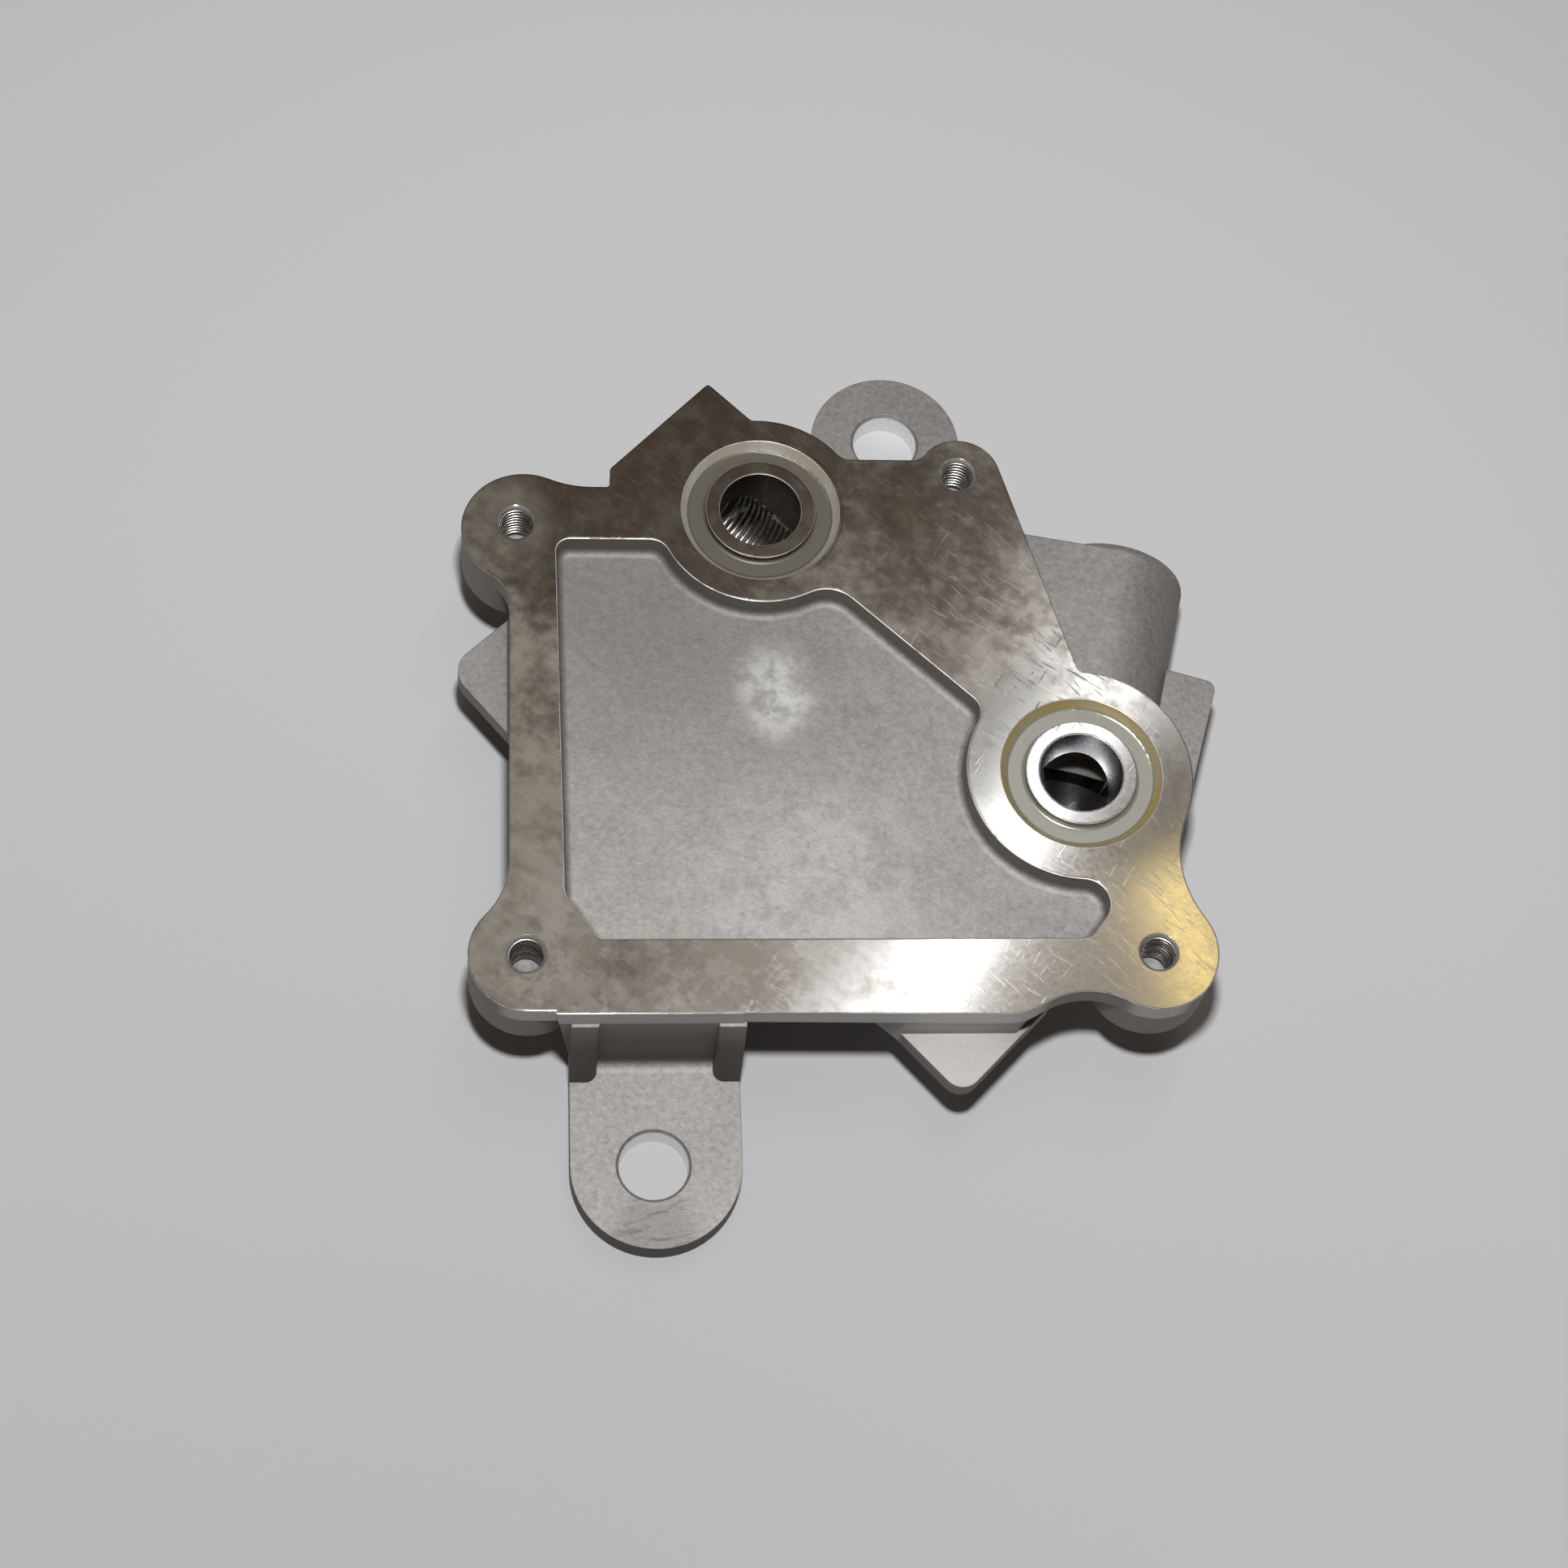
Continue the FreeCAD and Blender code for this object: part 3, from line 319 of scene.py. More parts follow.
@dataclass(frozen=True)
class MilledFinish:
    """Milled top face: mottled, stained at the rear and left, scratched between the ports, with painted shade
    on the turned ring round the front port.
    """

    metal_colour: Colour = (0.46, 0.46, 0.45)
    mottle_colour: Colour = (0.24, 0.23, 0.21)
    vein_colour: Colour = (0.60, 0.605, 0.60)
    stain_colour: Colour = (0.098, 0.078, 0.064)
    tarnish_colour: Colour = (0.150, 0.138, 0.118)
    scratch_colour: Colour = (0.52, 0.51, 0.50)
    # Colour of the painted shade on the turned ring round the front port.
    ring_shade_colour: Colour = (0.245, 0.25, 0.245)
    rim_line_colour: Colour = (0.07, 0.06, 0.05)
    broad: Cloud = Cloud(38.0, 4.0, 0.55)
    fine: Cloud = Cloud(210.0, 6.0, 0.6)
    grit: Cloud = Cloud(900.0, 3.0, 0.6)
    drawn: Cloud = Cloud(70.0, 4.0, 0.6, angle=-38.0, stretch=5.0)
    vein: Cloud = Cloud(110.0, 6.0, 0.7, 0.50, 0.58)
    tarnish: Cloud = Cloud(150.0, 5.0, 0.65, 0.42, 0.66)
    scratch_runs: tuple[Cloud, ...] = (
        Cloud(105.0, 2.0, 0.4, 0.640, 0.700, -34.0, 11.0),
        Cloud(125.0, 2.0, 0.4, 0.650, 0.710, -48.0, 11.0),
        Cloud(110.0, 2.0, 0.4, 0.690, 0.750, 58.0, 11.0),
    )
    clean_patches: tuple[Patch, ...] = (
        Patch((0.100, 0.052), 0.028, 0.060),
        Patch((0.0175, 0.034), 0.004, 0.014, 1.3),
    )
    stain_patches: tuple[Patch, ...] = (
        Patch((0.004, 0.162), 0.022, 0.066, 1.15, (0.80, 1.0)),
        Patch((-0.026, 0.112), 0.010, 0.050, 0.32, (1.5, 1.0)),
        Patch((0.070, 0.146), 0.006, 0.054, 0.88),
        Patch((-0.002, 0.034), 0.004, 0.016, 0.48),
        Patch((0.064, 0.112), 0.003, 0.020, 0.72),
    )
    clear_lobe: Patch = Patch((-0.037, 0.148), 0.008, 0.018, 0.6)
    veined_corner: Patch = Patch((0.000, 0.036), 0.022, 0.048, 0.5)
    scratched_web: Patch = Patch((0.087, 0.120), 0.008, 0.036, 0.70)
    ring_shade_patch: Patch = Patch(Plan.FRONT_PORT.value, 0.0215, 0.0345, 0.85)
    mottle_weights: Pair = (0.7, 0.5)
    mottle_span: Pair = (0.44, 0.78)
    mottle_share: float = 0.55
    haze_weight: float = 0.5
    haze_span: Pair = (0.62, 0.95)
    haze_share: float = 0.40
    clean_share: float = 0.75
    stain_raggedness: float = 1.1
    stain_span: Pair = (0.10, 1.0)
    stain_share: float = 0.93
    stray_scratches: float = 0.10
    # The turned ring's painted shade is lightest in the sectors facing along this direction.
    glint_direction: Pair = (0.45, 0.89)
    glint_span: Pair = (0.60, 0.97)
    glint_shade: float = 0.58
    rim_line_radius: float = 0.0197
    rim_line_half_width: float = 0.00035
    rim_line_span: Pair = (0.036, 0.041)
    rim_line_share: float = 0.7
    rough_base: float = 0.065
    rough_from_mottle: float = 0.14
    rough_from_clean: float = -0.08
    rough_from_stain: float = 0.10
    rough_from_grit: float = 0.08
    rough_from_scratch: float = 0.30

    def lay(self, s: Sketcher, ports: PortMasks) -> tuple[Socket, Socket]:
        """Colour and roughness of the milled metal.

        Args:
            s: Sketcher of the material.
            ports: Distances and masks of the ports.

        Returns:
            Colour and roughness sockets.
        """
        broad, fine = s.noise(self.broad), s.noise(self.fine)
        clean = s.most(*[s.patch(patch) for patch in self.clean_patches], ports.in_front)
        streaks = s.times(s.noise(self.drawn), self.mottle_weights[1])
        blotches = s.plus(s.times(fine, self.mottle_weights[0]), streaks)
        mottled = s.times(s.rise(blotches, *self.mottle_span), self.mottle_share)
        haze = s.rise(s.plus(broad, s.times(fine, self.haze_weight)), *self.haze_span)
        unclean = s.inverse(s.times(clean, self.clean_share))
        dulled = s.times(s.plus(mottled, s.times(haze, self.haze_share)), unclean)
        colour = s.mix(dulled, self.metal_colour, self.mottle_colour)
        colour = s.mix(s.times(s.cloud(self.vein), s.patch(self.veined_corner)), colour, self.vein_colour)
        stain = self.stain(s, broad, fine, ports)
        tarnish = s.mix(s.cloud(self.tarnish), self.stain_colour, self.tarnish_colour)
        colour = s.mix(s.times(stain, self.stain_share), colour, tarnish)
        scored = self.scratches(s)
        colour = s.mix(scored, colour, self.scratch_colour)
        # Painted shade: the turned ring round the front port is darkened, least where it catches the light.
        colour = s.mix(self.painted_ring_shade(s, ports), colour, self.ring_shade_colour)
        colour = s.mix(self.rim_line(s, ports), colour, self.rim_line_colour)
        from_mottle = s.times(fine, s.plus(self.rough_from_mottle, s.times(clean, self.rough_from_clean)))
        from_grit = s.times(s.math("SUBTRACT", s.noise(self.grit), NOISE_MEAN), self.rough_from_grit)
        from_marks = s.plus(s.times(stain, self.rough_from_stain), s.times(scored, self.rough_from_scratch))
        return colour, s.plus(from_mottle, self.rough_base, from_grit, from_marks)

    def stain(self, s: Sketcher, broad: Socket, fine: Socket, ports: PortMasks) -> Socket:
        """Brown stain, heaviest at the rear left.

        Args:
            s: Sketcher of the material.
            broad: Broad noise, for the stain's ragged edge.
            fine: Fine noise, for the same.
            ports: Distances and masks of the ports.

        Returns:
            Strength of the stain.
        """
        load = s.most(*[s.patch(patch) for patch in self.stain_patches])
        ragged = s.times(s.math("SUBTRACT", s.plus(broad, fine), 2.0 * NOISE_MEAN), self.stain_raggedness)
        stain = s.rise(s.plus(load, ragged), *self.stain_span)
        return s.times(stain, s.inverse(s.patch(self.clear_lobe)), s.inverse(ports.in_front))

    def scratches(self, s: Sketcher) -> Socket:
        """Short light scratches, thickest between the rear right lobe and the front port."""
        runs = s.most(0.0, *[s.cloud(run) for run in self.scratch_runs])
        return s.times(runs, s.plus(s.patch(self.scratched_web), self.stray_scratches))

    def painted_ring_shade(self, s: Sketcher, ports: PortMasks) -> Socket:
        """Painted shade on the turned ring round the front port, away from where it catches the light.

        Args:
            s: Sketcher of the material.
            ports: Distances and masks of the ports.

        Returns:
            Strength of the shade.
        """
        x, y = Plan.FRONT_PORT.value
        across = s.times(s.math("SUBTRACT", s.x, x), self.glint_direction[0])
        along = s.times(s.math("SUBTRACT", s.y, y), self.glint_direction[1])
        facing = s.math("DIVIDE", s.math("ABSOLUTE", s.plus(across, along)), ports.front)
        shade = s.rise(facing, *self.glint_span, 1.0, self.glint_shade)
        return s.times(s.patch(self.ring_shade_patch), s.inverse(ports.in_front), shade)

    def rim_line(self, s: Sketcher, ports: PortMasks) -> Socket:
        """Thin dark line at the right of the rear port's rim.

        Args:
            s: Sketcher of the material.
            ports: Distances and masks of the ports.

        Returns:
            Strength of the line.
        """
        off = s.math("ABSOLUTE", s.math("SUBTRACT", ports.rear, self.rim_line_radius))
        line = s.fall(off, 0.0, self.rim_line_half_width, self.rim_line_share)
        return s.times(line, s.rise(s.x, *self.rim_line_span))


@dataclass(frozen=True)
class GrooveFinish:
    """Seal grooves with dull floors and tinted slopes, the front land, and the oil bores."""

    rear_floor_colour: Colour = (0.155, 0.145, 0.120)
    front_floor_colour: Colour = (0.33, 0.33, 0.30)
    silver_colour: Colour = (0.74, 0.73, 0.69)
    gilt_colour: Colour = (0.52, 0.44, 0.26)
    gold_colour: Colour = (0.60, 0.47, 0.19)
    worn_gold_colour: Colour = (0.60, 0.58, 0.52)
    land_colour: Colour = (0.36, 0.36, 0.37)
    gilt: Cloud = Cloud(90.0, 3.0, 0.5, 0.40, 0.62)
    gilt_share: float = 0.45
    worn_share: float = 0.40
    bore_span: Pair = (0.01005, 0.01035)
    land_span: Pair = (0.0129, 0.0132)
    slope_span: Pair = (0.0172, 0.0176)
    groove_rough: float = 0.20
    bore_rough: float = 0.18

    def lay(
        self, s: Sketcher, colour: Number, rough: Number, ports: PortMasks
    ) -> tuple[Socket, Socket, Socket]:
        """Lay the grooves, the land and the bores over the milled metal.

        Args:
            s: Sketcher of the material.
            colour: Colour of the milled metal.
            rough: Roughness of the milled metal.
            ports: Distances and masks of the ports.

        Returns:
            Colour and roughness sockets, and the mask of the grooves.
        """
        land = s.times(ports.in_front, s.fall(ports.front, *self.land_span))
        colour = s.mix(land, colour, self.land_colour)
        reach = s.most(s.times(ports.in_rear, ports.rear), s.times(ports.in_front, ports.front))
        ringed = s.rise(reach, *self.land_span)
        floor = s.mix(ports.in_front, self.rear_floor_colour, self.front_floor_colour)
        gilt = s.cloud(self.gilt)
        silver = s.mix(s.times(gilt, self.gilt_share), self.silver_colour, self.gilt_colour)
        gold = s.mix(s.times(gilt, self.worn_share), self.gold_colour, self.worn_gold_colour)
        groove = s.mix(s.rise(reach, *self.slope_span), floor, s.mix(ports.in_front, silver, gold))
        bored = s.times(s.most(ports.in_rear, ports.in_front), s.fall(reach, *self.bore_span))
        rough = s.plus(rough, s.times(ringed, self.groove_rough), s.times(bored, self.bore_rough))
        return s.mix(ringed, colour, groove), rough, ringed


@dataclass(frozen=True)
class CastSkinFinish:
    """Fine grained cast skin with painted shade on upright walls, deepest on the bracket face, a painted
    lighter front side of the flange, and rubbed, scuffed and dim places.
    """

    skin_colour: Colour = (0.40, 0.39, 0.38)
    # Painted shade colour of upright walls.
    wall_shade_colour: Colour = (0.185, 0.170, 0.155)
    rubbed_colour: Colour = (0.82, 0.82, 0.81)
    scuff_colour: Colour = (0.20, 0.19, 0.175)
    fleck_colour: Colour = (0.22, 0.21, 0.19)
    dim_colour: Colour = (0.20, 0.195, 0.185)
    # Painted light: paler tone for the flange's upright front side.
    flange_front_light_colour: Colour = (0.45, 0.44, 0.425)
    lug_colour: Colour = (0.60, 0.59, 0.57)
    # Painted shade colour of the bracket's front face.
    bracket_shade_colour: Colour = (0.085, 0.077, 0.068)
    grain: Cloud = Cloud(700.0, 4.0, 0.75)
    mist: Cloud = Cloud(45.0, 5.0, 0.6)
    fleck: Cloud = Cloud(520.0, 3.0, 0.6, 0.64, 0.74)
    rub: Cloud = Cloud(170.0, 4.0, 0.65, 0.34, 0.60)
    scuff: Cloud = Cloud(150.0, 4.0, 0.6, 0.53, 0.60, 10.0, 4.0)
    rubbed_patches: tuple[Patch, ...] = (
        Patch((0.029, 0.107), 0.003, 0.013, 1.0, (1.0, 0.75)),
        Patch((0.038, 0.056), 0.010, 0.042, 0.30),
    )
    dim_patches: tuple[Patch, ...] = (
        Patch((0.000, 0.135), 0.010, 0.075, 0.42),
        Patch((0.0, -0.016), 0.004, 0.014, 0.42),
    )
    scuffed_ear: Patch = Patch((0.000, -0.014), 0.004, 0.013, 0.75)
    front_lug: Patch = Patch((0.068, 0.016), 0.008, 0.022, 0.8)
    level_base: float = 0.19
    level_from_mist: float = 0.52
    level_from_grain: float = 1.10
    upright_span: Pair = (0.25, 0.85)
    wall_shade_share: float = 0.78
    rub_weights: Pair = (0.75, 0.25)
    fleck_share: float = 0.30
    flange_front_span: Pair = (0.026, 0.028)
    flange_low_span: Pair = (0.0314, 0.0322)
    bracket_front_span: Pair = (0.024, 0.026)
    bracket_high_span: Pair = (0.020, 0.034)
    bracket_shade_share: float = 0.75
    rough_base: float = 0.62
    rough_from_noise: float = 0.06

    def lay(self, s: Sketcher, upward: Number) -> tuple[Socket, Socket]:
        """Colour and roughness of the cast skin.

        Args:
            s: Sketcher of the material.
            upward: Upward share of the face's normal.

        Returns:
            Colour and roughness sockets.
        """
        grain, mist = s.noise(self.grain), s.noise(self.mist)
        from_grain = s.times(grain, self.level_from_grain)
        level = s.plus(self.level_base, s.times(mist, self.level_from_mist), from_grain)
        grey = s.node("ShaderNodeCombineXYZ", {0: level, 1: level, 2: level}).outputs[0]
        colour = s.mix(1.0, self.skin_colour, grey, "MULTIPLY")
        upright = s.fall(s.math("ABSOLUTE", upward), *self.upright_span)
        # Painted shade: upright walls are darkened towards the wall shade colour.
        colour = s.mix(s.times(upright, self.wall_shade_share), colour, self.wall_shade_colour)
        bright = s.most(*[s.patch(patch) for patch in self.rubbed_patches])
        worn = s.plus(s.times(s.cloud(self.rub), self.rub_weights[0]), self.rub_weights[1])
        colour = s.mix(s.times(bright, worn), colour, self.rubbed_colour)
        colour = s.mix(s.times(s.patch(self.scuffed_ear), s.cloud(self.scuff)), colour, self.scuff_colour)
        colour = s.mix(s.times(s.cloud(self.fleck), self.fleck_share), colour, self.fleck_colour)
        dim = s.most(*[s.patch(patch) for patch in self.dim_patches])
        colour = s.mix(dim, colour, self.dim_colour)
        # Painted light: the flange's upright front side is lightened, against the painted wall shade.
        side = s.times(upright, s.fall(s.y, *self.flange_front_span), s.rise(s.z, *self.flange_low_span))
        colour = s.mix(side, colour, self.flange_front_light_colour)
        colour = s.mix(s.patch(self.front_lug), colour, self.lug_colour)
        # Painted shade: the low front face of the bracket is darkened further.
        low = s.fall(s.z, *self.bracket_high_span)
        bracket = s.times(upright, s.fall(s.y, *self.bracket_front_span), low)
        colour = s.mix(s.times(bracket, self.bracket_shade_share), colour, self.bracket_shade_colour)
        return colour, s.plus(self.rough_base, s.times(s.plus(mist, grain), self.rough_from_noise))


@dataclass(frozen=True)
class CastingFinish:
    """The whole casting: cast skin, milled top face, machined ports and bored ear holes."""

    milled: MilledFinish = MilledFinish()
    grooves: GrooveFinish = GrooveFinish()
    skin: CastSkinFinish = CastSkinFinish()
    ear_hole_colour: Colour = (0.80, 0.80, 0.79)
    ear_hole_rough: float = -0.40
    ear_hole_span: Pair = (0.00800, 0.00815)
    ear_hole_top_span: Pair = (0.0075, 0.0080)
    level_span: Pair = (0.90, 0.985)
    top_span: Pair = (TOP_HEIGHT - 0.0003, TOP_HEIGHT - 0.0001)
    groove_rim_span: Pair = (0.0189, 0.0191)
    port_floor_span: Pair = (0.0085, 0.0095)
    skin_metal: float = 0.8
    machined_metal: float = 0.2
    groove_metal: float = -0.5
    edge_radius: float = 0.0004
    edge_samples: int = 4
    grain: Cloud = Cloud(1300.0, 4.0, 0.65)
    pits: Cloud = Cloud(420.0, 3.0, 0.5)
    pit_share: float = 0.8
    grain_strength: float = 0.30
    grain_depth: float = 0.00022
    scratch_strength: float = 0.25
    scratch_depth: float = 0.00006

    def material(self) -> bpy.types.Material:
        """Lay out the whole finish.

        Returns:
            The finished material.
        """
        s = Sketcher("cast_and_milled_aluminium")
        facing = s.node("ShaderNodeNewGeometry", {}).outputs["True Normal"]
        upward = s.node("ShaderNodeSeparateXYZ", {"Vector": facing}).outputs[2]
        top = s.times(s.rise(upward, *self.level_span), s.rise(s.z, *self.top_span))
        ports = self.ports(s)
        machined = s.most(top, ports.in_rear, ports.in_front)
        bored = s.most(self.ear_hole(s, Plan.FRONT_EAR), self.ear_hole(s, Plan.REAR_EAR))
        metal, metal_rough, ringed = self.grooves.lay(s, *self.milled.lay(s, ports), ports)
        skin, skin_rough = self.skin.lay(s, upward)
        skin = s.mix(bored, skin, self.ear_hole_colour)
        skin_rough = s.plus(skin_rough, s.times(bored, self.ear_hole_rough))
        s.set("Base Color", s.mix(machined, skin, metal))
        s.set("Roughness", s.plus(s.times(machined, metal_rough), s.times(s.inverse(machined), skin_rough)))
        metallic = s.plus(s.times(machined, self.machined_metal), s.times(ringed, self.groove_metal))
        s.set("Metallic", s.plus(self.skin_metal, metallic))
        s.set("Normal", self.relief(s, machined, top))
        return s.material

    def ports(self, s: Sketcher) -> PortMasks:
        """Measure from the two ports.

        Args:
            s: Sketcher of the material.

        Returns:
            Distances and masks of the ports.
        """
        above = s.rise(s.z, *self.port_floor_span)
        rear = s.from_centre(Plan.REAR_PORT.value)
        front = s.from_centre(Plan.FRONT_PORT.value)
        in_rear = s.times(s.fall(rear, *self.groove_rim_span), above)
        in_front = s.times(s.fall(front, *self.groove_rim_span), above)
        return PortMasks(rear, front, in_rear, in_front)

    def ear_hole(self, s: Sketcher, ear: Plan) -> Socket:
        """Mask of the bored wall of one ear's hole."""
        away = s.from_centre(ear.value)
        return s.times(s.fall(away, *self.ear_hole_span), s.fall(s.z, *self.ear_hole_top_span))

    def relief(self, s: Sketcher, machined: Number, top: Number) -> Socket:
        """Grain, scratches and softened edges.

        Args:
            s: Sketcher of the material.
            machined: Mask of all machined faces.
            top: Mask of the milled top face.

        Returns:
            The normal's socket.
        """
        softened = s.node("ShaderNodeBevel", {"Radius": self.edge_radius}, samples=self.edge_samples)
        rugged = s.plus(s.noise(self.grain), s.times(s.noise(self.pits), self.pit_share))
        cast = s.node("ShaderNodeBump", {
            "Strength": self.grain_strength, "Distance": self.grain_depth,
            "Height": s.times(rugged, s.inverse(machined)), "Normal": softened.outputs[0],
        }).outputs[0]
        return s.node("ShaderNodeBump", {
            "Strength": self.scratch_strength, "Distance": self.scratch_depth,
            "Height": s.times(self.milled.scratches(s), top), "Normal": cast,
        }).outputs[0]


@dataclass(frozen=True)
class BrightCutFinish:
    """Freshly cut aluminium: thread crests, and rim beads that are partly burrs and partly a painted edge
    highlight.
    """

    name: str = "bright_thread_crests"
    colour: Colour = (0.66, 0.65, 0.63)
    dull_colour: Colour = (0.34, 0.31, 0.28)
    rough: float = 0.26
    dull: Cloud = Cloud(260.0, 4.0, 0.6, 0.46, 0.66)
    dull_share: float = 0.8
    dull_rough: float = 0.2
    grain: Cloud = Cloud(1200.0, 3.0, 0.6)
    grain_strength: float = 0.2
    grain_depth: float = 0.0001

    def material(self) -> bpy.types.Material:
        """Lay out the finish.

        Returns:
            The finished material.
        """
        s = Sketcher(self.name)
        dull = s.cloud(self.dull)
        s.set("Base Color", s.mix(s.times(dull, self.dull_share), self.colour, self.dull_colour))
        s.set("Roughness", s.plus(self.rough, s.times(dull, self.dull_rough)))
        s.set("Metallic", 1.0)
        height = s.noise(self.grain)
        relief = {"Strength": self.grain_strength, "Distance": self.grain_depth, "Height": height}
        s.set("Normal", s.node("ShaderNodeBump", relief).outputs[0])
        return s.material


@dataclass(frozen=True)
class FloorFinish:
    """Pale paper under the part, with painted light: paler away from the key lamp's foot to offset the lamp's
    falloff.
    """

    near_colour: Colour = (0.52, 0.525, 0.545)
    far_colour: Colour = (0.88, 0.885, 0.90)
    middle: Spot = (-0.015, -0.070)
    reach: float = 0.62
    mist: Cloud = Cloud(3.0, 2.0, 0.5)
    mist_share: float = 0.03

    def material(self) -> bpy.types.Material:
        """Lay out the finish.

        Returns:
            The finished material.
        """
        s = Sketcher("pale_floor")
        mist = s.times(s.math("SUBTRACT", s.noise(self.mist), NOISE_MEAN), self.mist_share)
        # Painted light: the floor's colour grows paler with distance from the middle, near the key lamp's
        # foot, to offset its falloff.
        away = s.plus(s.rise(s.from_centre(self.middle), 0.0, self.reach), mist)
        s.set("Base Color", s.mix(away, self.near_colour, self.far_colour))
        s.set("Roughness", 1.0)
        s.set("Specular IOR Level", 0.0)
        return s.material


class NodeSketch(TreeSketch):
    """Short calls that lay out one Geometry Nodes tree with named inputs."""

    def __init__(self, name: str, inputs: dict[str, tuple[str, object]]) -> None:
        """Start a tree.

        Args:
            name: Name of the tree.
            inputs: Socket type and default value by input name.
        """
        self.tree = bpy.data.node_groups.new(name, "GeometryNodeTree")
        face = self.tree.interface
        face.new_socket("Geometry", in_out="INPUT", socket_type="NodeSocketGeometry")
        self.keys: dict[str, str] = {}
        for label, (kind, value) in inputs.items():
            socket = face.new_socket(label, in_out="INPUT", socket_type=kind)
            if value is not None:
                socket.default_value = value
            self.keys[label] = socket.identifier
        face.new_socket("Geometry", in_out="OUTPUT", socket_type="NodeSocketGeometry")
        self.start = self.tree.nodes.new("NodeGroupInput")
        self.end = self.tree.nodes.new("NodeGroupOutput")

    def given(self, label: str) -> Socket:
        """Socket of one named input."""
        return self.start.outputs[label]

    def bead(self, path: Socket, width: Socket) -> Socket:
        """Run a thin bead along a curve.

        Args:
            path: Curve to follow.
            width: Half width of the bead.

        Returns:
            The bead's socket.
        """
        ring = self.node("GeometryNodeCurvePrimitiveCircle", {"Resolution": BEAD_SIDES, "Radius": width})
        inputs = {"Curve": path, "Profile Curve": ring.outputs[0], "Fill Caps": True}
        return self.node("GeometryNodeCurveToMesh", inputs).outputs[0]

    def finish(self, geometry: Socket, material: Socket) -> None:
        """End the tree in real geometry with its material.

        Args:
            geometry: Geometry to give out.
            material: Material for all of it.
        """
        solid = self.node("GeometryNodeRealizeInstances", {"Geometry": geometry}).outputs[0]
        dressed = self.node("GeometryNodeSetMaterial", {"Geometry": solid, "Material": material}).outputs[0]
        self.tree.links.new(dressed, self.end.inputs[0])

    def grow(self, name: str, base: bpy.types.Mesh, values: dict[str, object]) -> bpy.types.Object:
        """Run the tree on a mesh and keep the result as a plain mesh.

        Args:
            name: Name of the piece.
            base: Mesh that the tree starts from.
            values: Values of the named inputs.

        Returns:
            The finished object, with no modifier left.
        """
        piece = bpy.data.objects.new(name, base)
        bpy.context.scene.collection.objects.link(piece)
        modifier = piece.modifiers.new("build", "NODES")
        modifier.node_group = self.tree
        for label, value in values.items():
            modifier[self.keys[label]] = value
        bpy.context.view_layer.update()
        solid = bpy.data.meshes.new_from_object(piece.evaluated_get(bpy.context.evaluated_depsgraph_get()))
        piece.modifiers.remove(modifier)
        piece.data = solid
        solid.name = name
        return piece


def ride_with_casting(piece: bpy.types.Object) -> bpy.types.Object:
    """Let a piece move with the casting.

    Args:
        piece: Finished piece.

    Returns:
        The same piece.
    """
    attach(piece, "root")
    log.info("%s: %d faces", piece.name, len(piece.data.polygons))
    return piece


@dataclass
class Casting:
    """The CAD casting, kept as it is and dressed."""

    finish: CastingFinish = CastingFinish()

    def dress(self) -> bpy.types.Object:
        """Give the casting its finish.

        Returns:
            The casting's object.
        """
        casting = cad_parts[CASTING_NODE]
        material = self.finish.material()
        if not casting.data.materials:
            casting.data.materials.append(material)
        for index in range(len(casting.data.materials)):
            casting.data.materials[index] = material
        log.info("%s: %d faces", casting.name, len(casting.data.polygons))
        return casting


@dataclass(frozen=True)
class SideThread:
    """One run of thread in a side port, by its port, direction, start, radius and turns."""

    name: str
    port: Plan
    angle: float
    reach: float
    radius: float
    turns: int


